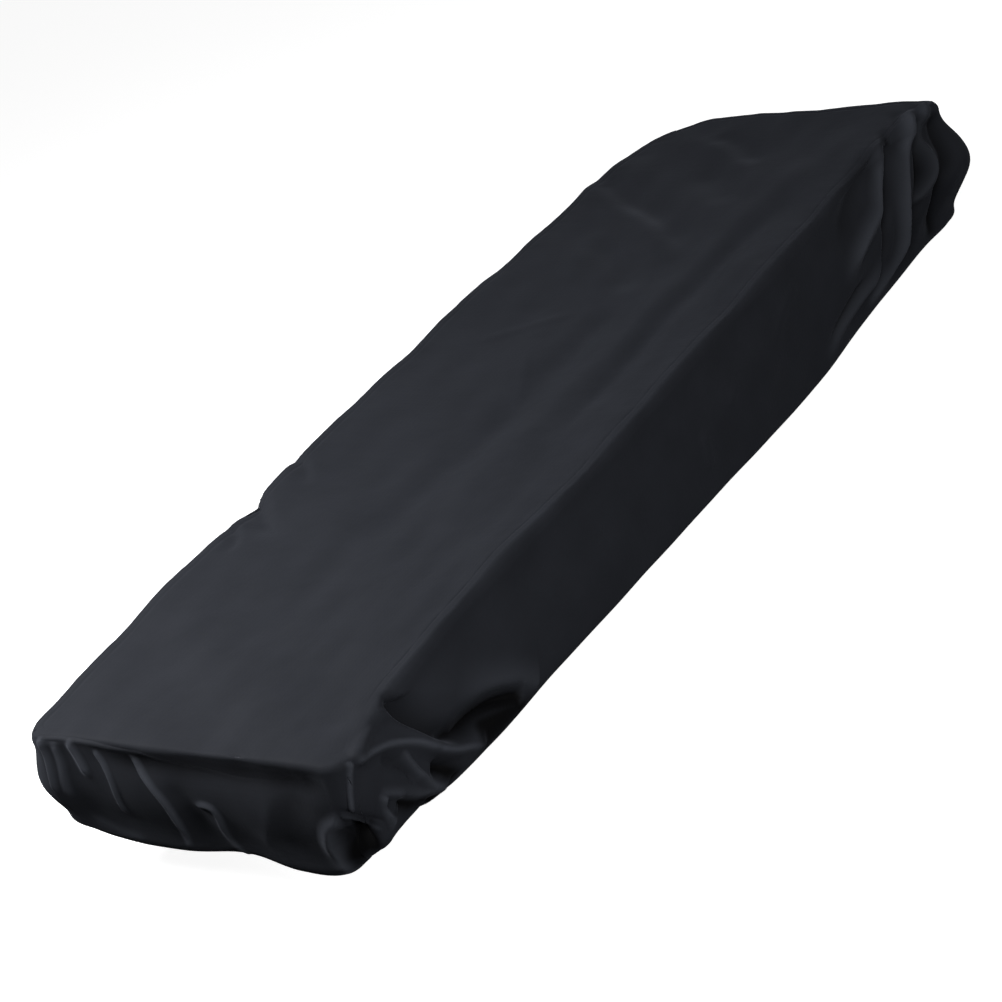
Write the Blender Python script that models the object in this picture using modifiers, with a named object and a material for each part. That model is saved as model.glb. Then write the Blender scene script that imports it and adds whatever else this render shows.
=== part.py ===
"""Fitted cloth cover for a long flat instrument, hanging in its folds.

The cover is cut as a maker cuts it: one top panel and four skirts, whose hems are drawn in under.
Lengths are in metres. The origin is at the middle of the top, on the face that rests on what is
covered. +X runs along the cover from the near end to the far end, +Z is up, and the front is -Y.

Places on the cloth are given in the flat pattern: x and y on the top panel, and on a skirt the
distance down from the top edge is added outwards, as if the skirts were laid out flat.
"""

from collections import namedtuple

import bmesh
import bpy
import numpy as np

# Driving sizes.
HALF_LENGTH = 0.675
HALF_WIDTH = 0.1855
CLOTH = 0.0015
SEAM_GAP = 0.0005
HEM_SPLIT = 0.0030
SPLIT_STATION = 1.6
SEAM_INSET = 0.014
HEM_ARC = np.radians(105.0)

# Steps of the meshes.
WIDTH_STEPS = 16
WIDTH_CROWDING = 0.45
WRAP_STEPS = 4
# The steps along the cover crowd where it has many folds: the places between which they are even, as
# shares of the half length, and the number of steps up to each.
LengthPart = namedtuple("LengthPart", "end steps")
LENGTH_START = -1.0
LENGTH_PARTS = (
    LengthPart(-0.90, 7),
    LengthPart(-0.62, 22),
    LengthPart(-0.40, 7),
    LengthPart(0.38, 17),
    LengthPart(0.92, 26),
    LengthPart(1.00, 5),
)
# Stations down a skirt: 0 to 1 rolls over the edge, 1 to 2 drops, 2 to 3 rolls under, 3 to 4 is tucked in.
SKIRT_STATIONS = (0.0, 0.35, 0.70, 1.0, 1.17, 1.33, 1.5, 1.67, 1.83, 2.0, 2.33, 2.67, 3.0, 4.0)
SEAM_ROW = 1
HEM_STATION = 2.0

# A section across a side, at a place along it: how far the top edge stands out (edge) and up (rise),
# the hem's depth below the top, the swell at half depth, the flare at the hem, the radius of the hem's
# roll, how far the hem runs on inwards after it, and the radius of the bend over the top edge.
Section = namedtuple("Section", "along edge rise depth swell flare roll tuck bend", defaults=(0.010,))
HANG_COLUMNS = ("depth", "swell", "flare", "roll", "tuck", "bend")

NEAR_FRONT = Section(0, 0.000, -0.003, 0.106, 0.004, 0.002, 0.012, 0.002, 0.006)
FAR_FRONT = Section(0, 0.026, 0.002, 0.158, 0.022, -0.002, 0.011, 0.002)
FAR_BACK = Section(0, -0.012, 0.000, 0.150, 0.004, 0.000, 0.014, 0.004)
NEAR_BACK = Section(0, 0.010, 0.000, 0.110, 0.005, 0.000, 0.012, 0.002)

FRONT_SECTIONS = (
    Section(-0.635, -0.014, 0.000, 0.102, 0.004, 0.010, 0.016, 0.006),
    Section(-0.590, -0.025, 0.001, 0.108, 0.002, 0.022, 0.016, 0.008),
    Section(-0.500, -0.030, 0.002, 0.118, 0.002, 0.026, 0.016, 0.008),
    Section(-0.370, -0.030, 0.002, 0.126, 0.003, 0.024, 0.016, 0.008),
    Section(-0.180, -0.018, 0.001, 0.137, 0.003, 0.014, 0.016, 0.008),
    Section(0.050, -0.017, 0.000, 0.152, 0.004, 0.013, 0.016, 0.008),
    Section(0.280, -0.010, 0.000, 0.166, 0.006, 0.006, 0.016, 0.008),
    Section(0.450, -0.008, 0.001, 0.160, 0.013, 0.006, 0.016, 0.008),
    Section(0.600, 0.001, 0.002, 0.158, 0.022, 0.006, 0.015, 0.008),
    Section(0.640, 0.014, 0.002, 0.158, 0.026, 0.000, 0.014, 0.006),
)
FAR_SECTIONS = (
    Section(-0.140, 0.018, 0.003, 0.158, 0.020, -0.002, 0.014, 0.006),
    Section(-0.060, 0.012, 0.004, 0.156, 0.010, 0.000, 0.015, 0.008),
    Section(0.060, 0.008, 0.004, 0.153, 0.006, -0.002, 0.015, 0.008),
    Section(0.130, 0.002, 0.004, 0.150, 0.004, 0.000, 0.014, 0.008),
)
BACK_SECTIONS = (
    Section(-0.630, 0.014, 0.001, 0.110, 0.006, 0.000, 0.015, 0.006),
    Section(-0.520, 0.016, 0.006, 0.116, 0.008, -0.002, 0.016, 0.008),
    Section(-0.300, 0.020, 0.009, 0.128, 0.006, 0.000, 0.016, 0.008),
    Section(-0.060, 0.022, 0.010, 0.138, 0.009, -0.002, 0.016, 0.008),
    Section(0.200, 0.020, 0.009, 0.148, 0.006, 0.000, 0.016, 0.008),
    Section(0.400, 0.014, 0.007, 0.152, 0.008, 0.000, 0.016, 0.008),
    Section(0.520, 0.010, 0.004, 0.152, 0.006, 0.000, 0.015, 0.008),
    Section(0.610, 0.000, 0.003, 0.150, 0.004, 0.000, 0.014, 0.008),
)
NEAR_SECTIONS = (
    Section(-0.145, 0.002, 0.000, 0.128, 0.008, 0.000, 0.018, 0.006, 0.005),
    Section(-0.085, 0.002, 0.000, 0.134, 0.008, -0.002, 0.020, 0.008, 0.005),
    Section(-0.030, 0.002, 0.000, 0.124, 0.006, -0.004, 0.020, 0.008, 0.005),
    Section(0.060, 0.002, 0.000, 0.130, 0.008, -0.002, 0.020, 0.008, 0.005),
    Section(0.145, 0.002, 0.000, 0.122, 0.006, -0.002, 0.016, 0.006, 0.005),
)

# The top panel runs over the near end's edge: how far down it reaches, as a station, at places across.
SeamPoint = namedtuple("SeamPoint", "along station")
NEAR_SEAM = (
    SeamPoint(-0.1855, 0.35),
    SeamPoint(-0.1400, 1.00),
    SeamPoint(-0.0800, 1.16),
    SeamPoint(-0.0250, 1.14),
    SeamPoint(0.0080, 1.09),
    SeamPoint(0.0510, 1.00),
    SeamPoint(0.0960, 0.72),
    SeamPoint(0.1530, 0.45),
    SeamPoint(0.1855, 0.35),
)

# Corner radii of the top edge: the far back corner is drawn round.
CORNER_RADII = {(-1, -1): 0.028, (1, -1): 0.028, (1, 1): 0.075, (-1, 1): 0.028}

# A fold along a path in the flat pattern. Pairs hold the value at the start and at the end: the height (a
# trough's is negative), the widths to the left and to the right of the path, and how much of its length
# fades in and out. A crisp fold has a sharp crest between two straight flanks, and a soft one is round.
Fold = namedtuple("Fold", "name height left right fade path crisp", defaults=(0.0,))

FOLDS = (
    Fold("corner_rim", (0.005, 0.016), (0.010, 0.008), (0.006, 0.006), (0.05, 0.05),
         ((-0.663, -0.187), (-0.650, -0.192), (-0.629, -0.202), (-0.609, -0.213), (-0.588, -0.228),
          (-0.570, -0.246), (-0.551, -0.262), (-0.526, -0.276), (-0.500, -0.292)), 0.8),
    Fold("lobe_crease", (-0.008, -0.012), (0.020, 0.014), (0.004, 0.005), (0.12, 0.20),
         ((-0.570, -0.180), (-0.580, -0.190), (-0.579, -0.202), (-0.570, -0.220), (-0.558, -0.238),
          (-0.548, -0.250), (-0.530, -0.262))),
    Fold("lobe_rim", (0.002, 0.005), (0.016, 0.034), (0.008, 0.012), (0.25, 0.45),
         ((-0.583, -0.180), (-0.568, -0.187), (-0.535, -0.209), (-0.507, -0.228), (-0.473, -0.252)), 0.5),
    Fold("great_pocket", (-0.014, -0.022), (0.010, 0.010), (0.009, 0.009), (0.20, 0.05),
         ((-0.556, -0.246), (-0.530, -0.258), (-0.506, -0.261), (-0.483, -0.266), (-0.460, -0.275),
          (-0.430, -0.292)), 0.4),
    Fold("middle_pocket", (-0.014, -0.020), (0.010, 0.010), (0.008, 0.009), (0.20, 0.10),
         ((-0.582, -0.258), (-0.568, -0.269), (-0.560, -0.280), (-0.552, -0.298)), 0.4),
    Fold("low_pocket", (-0.012, -0.018), (0.006, 0.008), (0.010, 0.012), (0.20, 0.10),
         ((-0.634, -0.254), (-0.617, -0.268), (-0.600, -0.282), (-0.585, -0.298)), 0.4),
    Fold("hem_curl", (0.006, 0.012), (0.006, 0.007), (0.006, 0.010), (0.20, 0.05),
         ((-0.718, -0.170), (-0.728, -0.160), (-0.737, -0.149), (-0.747, -0.144), (-0.762, -0.139),
          (-0.779, -0.138), (-0.800, -0.144)), 0.7),
    Fold("hem_scoop", (-0.018, -0.012), (0.012, 0.012), (0.022, 0.018), (0.10, 0.35),
         ((-0.795, -0.164), (-0.767, -0.168), (-0.749, -0.195), (-0.728, -0.237), (-0.705, -0.264),
          (-0.690, -0.285))),
    Fold("near_diagonal", (0.0035, 0.005), (0.0026, 0.0034), (0.0026, 0.0034), (0.10, 0.08),
         ((-0.682, 0.064), (-0.702, 0.054), (-0.717, 0.044), (-0.733, 0.036), (-0.754, 0.035),
          (-0.795, 0.041)), 0.7),
    Fold("near_upper_diagonal", (0.003, 0.0035), (0.0024, 0.0024), (0.0024, 0.0026), (0.10, 0.20),
         ((-0.682, 0.104), (-0.701, 0.095), (-0.718, 0.092), (-0.738, 0.093), (-0.758, 0.094)), 0.7),
    Fold("near_low_diagonal", (0.003, 0.006), (0.0028, 0.0036), (0.0034, 0.0050), (0.15, 0.05),
         ((-0.734, 0.008), (-0.731, -0.010), (-0.740, -0.018), (-0.769, -0.014), (-0.800, -0.026)), 0.6),
    Fold("near_hollow", (-0.002, -0.004), (0.014, 0.014), (0.014, 0.014), (0.25, 0.10),
         ((-0.700, 0.030), (-0.740, 0.012), (-0.795, 0.004))),
    Fold("near_front_hollow", (-0.005, -0.007), (0.030, 0.030), (0.020, 0.020), (0.30, 0.20),
         ((-0.688, -0.135), (-0.725, -0.112), (-0.780, -0.094))),
    Fold("far_long_ridge", (0.010, 0.014), (0.006, 0.006), (0.012, 0.013), (0.05, 0.10),
         ((0.640, -0.166), (0.614, -0.179), (0.588, -0.200), (0.562, -0.222), (0.541, -0.240),
          (0.524, -0.256), (0.513, -0.275), (0.503, -0.295), (0.482, -0.314), (0.445, -0.322),
          (0.400, -0.324)), 0.6),
    Fold("far_hem_ridge", (0.009, 0.008), (0.007, 0.008), (0.009, 0.009), (0.30, 0.20),
         ((0.478, -0.284), (0.444, -0.296), (0.409, -0.303), (0.362, -0.308), (0.325, -0.315),
          (0.276, -0.332)), 0.4),
    Fold("far_inner_ridge", (0.009, 0.009), (0.005, 0.008), (0.012, 0.016), (0.10, 0.30),
         ((0.560, -0.176), (0.540, -0.190), (0.515, -0.207), (0.492, -0.223), (0.471, -0.238),
          (0.438, -0.246), (0.404, -0.254), (0.372, -0.263), (0.345, -0.271)), 0.6),
    Fold("far_inner_trough", (-0.009, -0.012), (0.007, 0.007), (0.007, 0.008), (0.10, 0.20),
         ((0.600, -0.166), (0.575, -0.183), (0.545, -0.210), (0.522, -0.230), (0.500, -0.244),
          (0.484, -0.258), (0.470, -0.284), (0.448, -0.303), (0.415, -0.305)), 0.4),
    Fold("far_soft_trough", (-0.005, -0.006), (0.012, 0.018), (0.012, 0.020), (0.20, 0.30),
         ((0.540, -0.176), (0.490, -0.185), (0.454, -0.193), (0.409, -0.213), (0.350, -0.243))),
    Fold("far_outer_trough", (-0.012, -0.016), (0.012, 0.012), (0.006, 0.008), (0.08, 0.10),
         ((0.622, -0.182), (0.608, -0.208), (0.592, -0.228), (0.572, -0.248), (0.553, -0.268),
          (0.540, -0.290), (0.534, -0.325)), 0.3),
    Fold("far_outer_ridge", (0.009, 0.010), (0.005, 0.006), (0.007, 0.007), (0.08, 0.20),
         ((0.645, -0.176), (0.624, -0.192), (0.612, -0.208), (0.608, -0.222), (0.603, -0.238),
          (0.594, -0.250), (0.570, -0.262), (0.553, -0.268), (0.540, -0.280)), 0.6),
    Fold("far_end_trough", (-0.010, -0.014), (0.010, 0.012), (0.009, 0.012), (0.12, 0.10),
         ((0.650, -0.190), (0.636, -0.212), (0.624, -0.238), (0.606, -0.262), (0.598, -0.285),
          (0.597, -0.312), (0.590, -0.340)), 0.3),
    Fold("far_low_trough", (-0.008, -0.009), (0.007, 0.007), (0.007, 0.007), (0.30, 0.20),
         ((0.415, -0.288), (0.382, -0.295), (0.345, -0.302), (0.290, -0.320)), 0.3),
    Fold("front_soft_band", (0.004, 0.004), (0.030, 0.030), (0.030, 0.030), (0.30, 0.30),
         ((0.290, -0.205), (0.215, -0.230), (0.120, -0.252), (-0.020, -0.262))),
    Fold("top_ridge", (0.004, 0.006), (0.024, 0.028), (0.024, 0.026), (0.15, 0.30),
         ((0.540, -0.100), (0.383, -0.080), (0.233, -0.071), (0.104, -0.072), (0.010, -0.069),
          (-0.091, -0.058), (-0.200, -0.056), (-0.290, -0.058), (-0.400, -0.070))),
    Fold("top_front_valley", (-0.004, -0.004), (0.016, 0.018), (0.016, 0.014), (0.20, 0.20),
         ((0.430, -0.118), (0.367, -0.108), (0.198, -0.101), (0.039, -0.099), (-0.104, -0.104),
          (-0.165, -0.118))),
    Fold("top_valley", (-0.007, -0.005), (0.020, 0.036), (0.020, 0.030), (0.12, 0.35),
         ((0.185, -0.018), (0.113, -0.012), (0.030, -0.008), (-0.060, -0.002), (-0.148, 0.002),
          (-0.255, 0.010), (-0.358, 0.032), (-0.500, 0.030))),
    Fold("s_ridge", (0.007, 0.008), (0.013, 0.012), (0.020, 0.018), (0.05, 0.25),
         ((0.490, 0.200), (0.465, 0.176), (0.405, 0.117), (0.354, 0.056), (0.299, 0.009),
          (0.249, -0.020), (0.205, -0.034))),
    Fold("s_hollow", (-0.004, -0.006), (0.016, 0.016), (0.020, 0.018), (0.30, 0.25),
         ((0.330, 0.110), (0.290, 0.070), (0.250, 0.035), (0.215, 0.008), (0.170, -0.016))),
    Fold("s_trough", (-0.006, -0.008), (0.018, 0.018), (0.012, 0.012), (0.10, 0.25),
         ((0.510, 0.185), (0.435, 0.112), (0.378, 0.044), (0.315, -0.008), (0.262, -0.032))),
    Fold("far_top_ridge", (0.006, 0.005), (0.014, 0.014), (0.014, 0.014), (0.15, 0.25),
         ((0.615, 0.126), (0.575, 0.070), (0.545, 0.034), (0.502, -0.008), (0.455, -0.041),
          (0.405, -0.066))),
    Fold("far_top_hollow", (-0.004, -0.004), (0.014, 0.014), (0.018, 0.016), (0.25, 0.25),
         ((0.520, 0.050), (0.470, 0.016), (0.428, -0.012), (0.396, -0.038))),
    Fold("far_top_trough", (-0.003, -0.004), (0.014, 0.014), (0.022, 0.022), (0.20, 0.30),
         ((0.612, 0.080), (0.580, 0.028), (0.515, -0.026))),
    Fold("back_dent", (-0.009, -0.005), (0.008, 0.008), (0.018, 0.018), (0.08, 0.40),
         ((-0.268, 0.192), (-0.290, 0.170), (-0.316, 0.148), (-0.350, 0.120))),
)

# Low waves that keep the cloth uneven: their height, their lengths along x and y, and their phase.
Wave = namedtuple("Wave", "height length_x length_y phase")
WAVES = (
    Wave(0.0012, 0.310, 0.270, 0.4),
    Wave(0.0009, -0.190, 0.230, 1.7),
    Wave(0.0006, 0.110, -0.170, 2.9),
)

# Finish of the cloth, a dull charcoal black.
CLOTH_COLOUR = (0.026, 0.027, 0.032, 1.0)
CLOTH_ROUGHNESS = 0.72

SIDES = ("front", "far", "back", "near")
PATH_STEPS = 6
# Solids this coarse carry no narrower fold than this, and take each height as a mean over this far round it.
NARROWEST = 0.010

# A crisp fold's crest is round over this share of its width, and its flanks run out to this many widths
# from it, on a curve of this power.
CREST = 0.12
TENT_REACH = 2.0
TENT_POWER = 1.5
EVENED = 0.005
# The drawn-in hem holds the folds flat: from this station on they fade, to this share at the hem.
HOLD_STATION = 1.72
HEM_SHARE = 0.22


def spline(at, knots, values, level_ends=False):
    """Smooth curve through the knots of a table, which may start and end level."""
    knots = np.asarray(knots, float)
    values = np.asarray(values, float)
    slopes = np.gradient(values, knots)
    if level_ends:
        slopes[[0, -1]] = 0.0
    i = np.clip(np.searchsorted(knots, at, side="right") - 1, 0, len(knots) - 2)
    step = knots[i + 1] - knots[i]
    t = np.clip((at - knots[i]) / step, 0.0, 1.0)
    low = (1 + 2 * t) * (1 - t) ** 2 * values[i] + t * (1 - t) ** 2 * step * slopes[i]
    high = t ** 2 * (3 - 2 * t) * values[i + 1] - t ** 2 * (1 - t) * step * slopes[i + 1]
    return low + high


def smooth(t):
    """Ease from 0 to 1."""
    t = np.clip(t, 0.0, 1.0)
    return t * t * (3 - 2 * t)


def side_table(side):
    """The sections of a side from one corner to the other."""
    first, rows, last, half = {
        "front": (NEAR_FRONT, FRONT_SECTIONS, FAR_FRONT, HALF_LENGTH),
        "far": (FAR_FRONT, FAR_SECTIONS, FAR_BACK, HALF_WIDTH),
        "back": (NEAR_BACK, BACK_SECTIONS, FAR_BACK, HALF_LENGTH),
        "near": (NEAR_FRONT, NEAR_SECTIONS, NEAR_BACK, HALF_WIDTH),
    }[side]
    return (first._replace(along=-half), *rows, last._replace(along=half))


def section_value(side, name, along):
    """One column of a side's sections, anywhere along it."""
    table = side_table(side)
    places = [row.along for row in table]
    return spline(along, places, [getattr(row, name) for row in table], level_ends=True)


def width_places():
    """Places of the grid lines across the cover, from -1 to 1."""
    t = np.linspace(-1, 1, WIDTH_STEPS + 1)
    return t + WIDTH_CROWDING * np.sin(np.pi * t) / np.pi


def length_places():
    """Places of the grid lines along the cover, from -1 to 1."""
    places = [LENGTH_START]
    for part in LENGTH_PARTS:
        places.extend(np.linspace(places[-1], part.end, part.steps + 1)[1:])
    return np.array(places)


def near_seam(across):
    """How far down the near end the top panel reaches, as a station."""
    return spline(across, [point.along for point in NEAR_SEAM], [point.station for point in NEAR_SEAM])


def plan(u, v):
    """Place and outward direction in plan, for u and v from -1 to 1 over the top panel."""
    half_x = HALF_LENGTH - SEAM_INSET
    half_y = HALF_WIDTH - SEAM_INSET
    x = u * half_x
    y = v * half_y
    radius = np.empty_like(x)
    for (sign_x, sign_y), edge_radius in CORNER_RADII.items():
        here = (np.where(x < 0, -1, 1) == sign_x) & (np.where(y < 0, -1, 1) == sign_y)
        radius[here] = edge_radius - SEAM_INSET
    corner_x = (np.abs(x) - half_x + radius) / radius
    corner_y = (np.abs(y) - half_y + radius) / radius
    inside = (corner_x > 0) & (corner_y > 0)
    round_x = corner_x * np.sqrt(np.maximum(0, 1 - corner_y ** 2 / 2))
    round_y = corner_y * np.sqrt(np.maximum(0, 1 - corner_x ** 2 / 2))
    out_x = np.where(inside, round_x, (np.abs(u) > 1 - 1e-6).astype(float))
    out_y = np.where(inside, round_y, (np.abs(v) > 1 - 1e-6).astype(float))
    size = np.maximum(np.hypot(out_x, out_y), 1e-9)
    normal = (np.sign(x) * out_x / size, np.sign(y) * out_y / size)
    x = np.where(inside, np.sign(x) * (half_x + radius * (round_x - 1)), x)
    y = np.where(inside, np.sign(y) * (half_y + radius * (round_y - 1)), y)
    return x, y, normal


def edge_blend(name, x, y):
    """A column of all four sides, blended inwards over the top panel: along x and along y."""
    weight_x = (x / HALF_LENGTH) ** 8
    weight_y = (y / HALF_WIDTH) ** 2
    along_x = np.where(y < 0, section_value("front", name, x), section_value("back", name, x))
    along_y = np.where(x < 0, section_value("near", name, y), section_value("far", name, y))
    return along_y * weight_x, along_x * weight_y


def fold_height(fold, x, y):
    """Height of one fold at places in the flat pattern."""
    path = np.array(fold.path)
    knots = np.arange(len(path), dtype=float)
    fine = np.linspace(0, knots[-1], PATH_STEPS * (len(path) - 1) + 1)
    path = np.stack([spline(fine, knots, path[:, 0]), spline(fine, knots, path[:, 1])], axis=1)
    lengths = np.hypot(*np.diff(path, axis=0).T)
    starts = np.concatenate([[0], np.cumsum(lengths)])
    best = np.full(x.shape, np.inf)
    run = np.zeros_like(x)
    on_left = np.zeros(x.shape, bool)
    for a, b, length, start in zip(path[:-1], path[1:], lengths, starts[:-1]):
        way = b - a
        t = np.clip(((x - a[0]) * way[0] + (y - a[1]) * way[1]) / length ** 2, 0, 1)
        off_x = x - a[0] - t * way[0]
        off_y = y - a[1] - t * way[1]
        distance = np.hypot(off_x, off_y)
        closer = distance < best
        best = np.where(closer, distance, best)
        run = np.where(closer, (start + t * length) / starts[-1], run)
        on_left = np.where(closer, way[0] * off_y - way[1] * off_x > 0, on_left)
    size = fold.height[0] + (fold.height[1] - fold.height[0]) * run
    size = size * smooth(run / fold.fade[0]) * smooth((1 - run) / fold.fade[1])
    left = fold.left[0] + (fold.left[1] - fold.left[0]) * run
    right = fold.right[0] + (fold.right[1] - fold.right[0]) * run
    share = best / np.maximum(np.where(on_left, left, right), NARROWEST)
    tent = np.clip(1 - (np.hypot(share, CREST) - CREST) / TENT_REACH, 0, 1) ** TENT_POWER
    return size * ((1 - fold.crisp) * np.exp(-share ** 2) + fold.crisp * tent)


def relief(x, y):
    """Height of all folds and waves at places in the flat pattern."""
    height = np.zeros_like(x)
    for wave in WAVES:
        height += wave.height * np.sin(2 * np.pi * (x / wave.length_x + y / wave.length_y) + wave.phase)
    for fold in FOLDS:
        for way_x, way_y in ((-1, -1), (-1, 1), (1, -1), (1, 1)):
            height += fold_height(fold, x + way_x * EVENED, y + way_y * EVENED) / 4
    return height


def top_base(u, v):
    """The flat part of the top panel without its relief: pattern x and y, then x, y and z."""
    x, y, _ = plan(u, v)
    shift_x, shift_y = edge_blend("edge", x, y)
    rise_x, rise_y = edge_blend("rise", x, y)
    return x, y, x + np.sign(x) * shift_x, y + np.sign(y) * shift_y, rise_x + rise_y


def skirt_profile(station, sections):
    """Distance out from the seam and height of a skirt, for a station from 0 to 4."""
    depth, swell, flare, roll, tuck, bend = sections
    over = np.clip(station, 0, 1) * np.pi / 2
    down = np.clip(station - 1, 0, 1)
    under = np.clip(station - 2, 0, 1) * HEM_ARC
    inward = np.clip(station - 3, 0, 1) * tuck
    out = SEAM_INSET - bend * (1 - np.sin(over)) - (SEAM_INSET - bend) * (1 - smooth(station * 3))
    out = out + swell * np.sin(np.pi * down) ** 2 + flare * smooth(down)
    out = out - roll * (1 - np.cos(under)) - inward * np.sin(HEM_ARC)
    z = -bend * (1 - np.cos(over)) - (depth - bend - roll) * down
    z = z - roll * np.sin(under) - inward * np.cos(HEM_ARC)
    return out, z


def skirt_reach(station, sections):
    """How far down the flat pattern of a skirt a station lies from the edge of the flat top."""
    out, z = skirt_profile(station, sections)
    down = np.where(station <= 1, out - z, SEAM_INSET - z)
    return down + sections[3] * np.clip(station - 2, 0, 2)


def skirt_surface(side, t, station):
    """Points of a skirt for t from -1 to 1 along it and a station down it."""
    one = np.ones_like(t)
    u, v = {"front": (t, -one), "far": (one, t), "back": (-t, one), "near": (-one, -t)}[side]
    x, y, (out_x, out_y) = plan(u, v)
    along = u * HALF_LENGTH if side in ("front", "back") else v * HALF_WIDTH
    _, _, base_x, base_y, rise = top_base(u, v)
    sections = [section_value(side, name, along) for name in HANG_COLUMNS]
    out, z = skirt_profile(station, sections)
    small = 1e-3
    ahead_out, ahead_z = skirt_profile(np.clip(station + small, 0, 4), sections)
    behind_out, behind_z = skirt_profile(np.clip(station - small, 0, 4), sections)
    turn_out = behind_z - ahead_z
    turn_up = ahead_out - behind_out
    size = np.maximum(np.hypot(turn_out, turn_up), 1e-12)
    reach = skirt_reach(station, sections)
    hold = 1 - (1 - HEM_SHARE) * smooth((station - HOLD_STATION) / (HEM_STATION - HOLD_STATION))
    height = hold * relief(x + out_x * reach, y + out_y * reach)
    lift = rise * (1 - smooth(-z / sections[0]))
    px = base_x + out_x * (out + height * turn_out / size)
    py = base_y + out_y * (out + height * turn_out / size)
    pz = z + lift + height * turn_up / size
    return np.stack([px, py, pz], axis=-1)


def top_surface(u, v):
    """Points of the top panel: u from -1 to 1 on its flat part, and down to -2 over the near end's edge."""
    x, y, base_x, base_y, rise = top_base(np.maximum(u, -1), v)
    flat = np.stack([base_x, base_y, rise + relief(x, y)], axis=-1)
    past = np.clip(-1 - u, 0, 1)
    wrapped = skirt_surface("near", -v, past * near_seam(v * HALF_WIDTH))
    return np.where((past > 0)[..., None], wrapped, flat)


def pulled(edge, inner, distance):
    """Points of an edge, drawn towards the points next to them."""
    way = inner - edge
    return edge + way / np.linalg.norm(way, axis=-1, keepdims=True) * distance


def draw_in(points, hem, end_distances):
    """Draw a panel's sewn edges back from its neighbours. A hem, in the first row, stays."""
    points = points.copy()
    if not hem:
        points[0] = pulled(points[0], points[1], SEAM_GAP / 2)
    points[-1] = pulled(points[-1], points[-2], SEAM_GAP / 2)
    points[:, 0] = pulled(points[:, 0], points[:, 1], end_distances)
    points[:, -1] = pulled(points[:, -1], points[:, -2], end_distances)
    return points


def cloth_material():
    """Dull stretch cloth."""
    material = bpy.data.materials.new("charcoal_stretch_cloth")
    material.use_nodes = True
    shader = material.node_tree.nodes["Principled BSDF"]
    shader.inputs["Base Color"].default_value = CLOTH_COLOUR
    shader.inputs["Roughness"].default_value = CLOTH_ROUGHNESS
    shader.inputs["Metallic"].default_value = 0.0
    material.diffuse_color = CLOTH_COLOUR
    return material


def panel(name, points, material, collection):
    """A sheet of cloth on a grid of points, thickened outwards."""
    rows, columns = points.shape[:2]
    bm = bmesh.new()
    bmesh.ops.create_grid(bm, x_segments=columns - 1, y_segments=rows - 1, size=1.0)
    for vert in bm.verts:
        column = round((vert.co.x + 1) / 2 * (columns - 1))
        row = round((vert.co.y + 1) / 2 * (rows - 1))
        vert.co = points[row, column]
    mesh = bpy.data.meshes.new(name)
    bm.to_mesh(mesh)
    bm.free()
    mesh.shade_smooth()
    mesh.materials.append(material)
    obj = bpy.data.objects.new(name, mesh)
    collection.objects.link(obj)
    thicken = obj.modifiers.new("thickness", "SOLIDIFY")
    thicken.thickness = CLOTH
    thicken.offset = 1.0
    return obj


def top_panel(material, collection):
    """The long top panel, with the part that runs over the near end's edge."""
    over = np.linspace(-2, -1, WRAP_STEPS + 1)[:-1]
    u, v = np.meshgrid(np.concatenate([over, length_places()]), width_places())
    points = top_surface(u, v)
    # Beside the long skirts, this part runs straight, as the first row of each skirt does.
    share = np.linspace(0, 1, WRAP_STEPS + 1)[:, None]
    for row in (0, -1):
        points[row, :WRAP_STEPS + 1] = points[row, 0] + (points[row, WRAP_STEPS] - points[row, 0]) * share
    points = draw_in(points, hem=False, end_distances=SEAM_GAP / 2)
    return panel("top_panel", points, material, collection)


def skirt(side, name, material, collection):
    """One skirt with its hem, from the seam at its top to the hem's tucked edge."""
    places = length_places() if side in ("front", "back") else width_places()
    if side == "back":
        places = -places[::-1]
    first = SEAM_ROW if side == "near" else 0
    t, station = np.meshgrid(places, SKIRT_STATIONS[first:][::-1])
    split = np.interp(station[:, :1], (0, SPLIT_STATION, SKIRT_STATIONS[-1]),
                      (SEAM_GAP / 2, SEAM_GAP / 2, HEM_SPLIT / 2))
    if side == "near":
        seam = near_seam(-t * HALF_WIDTH)
        lowered = seam + (station - SKIRT_STATIONS[SEAM_ROW]) * (HEM_STATION - seam) / (
            HEM_STATION - SKIRT_STATIONS[SEAM_ROW])
        station = np.where(station < HEM_STATION, lowered, station)
    points = draw_in(skirt_surface(side, t, station), hem=True, end_distances=split)
    return panel(name, points, material, collection)


def main():
    """Build the cover."""
    for old in list(bpy.data.objects):
        bpy.data.objects.remove(old, do_unlink=True)
    collection = bpy.data.collections.new("piano_cover")
    bpy.context.scene.collection.children.link(collection)
    material = cloth_material()
    top_panel(material, collection)
    for side, name in zip(SIDES, ("front_skirt", "far_end_skirt", "back_skirt", "near_end_skirt")):
        skirt(side, name, material.copy(), collection)


main()
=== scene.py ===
"""Fitted stretch-cloth cover for a long keyboard instrument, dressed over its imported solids.

Lengths are in metres, in the frame of the solids: the origin is at the middle of the top panel's
inner face, +X runs from the near end to the far end, +Z is up, and the front is -Y.

Places on the cloth are given in the flat pattern: x and y on the top panel, and on a skirt the way
down from the seam is added outwards, as if the skirts were laid out flat round the top.
"""

import logging
from collections.abc import Sequence
from dataclasses import dataclass
from enum import Enum
from typing import NamedTuple

import bmesh
import bpy
import numpy as np
from mathutils import Euler, Matrix, Vector


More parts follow.
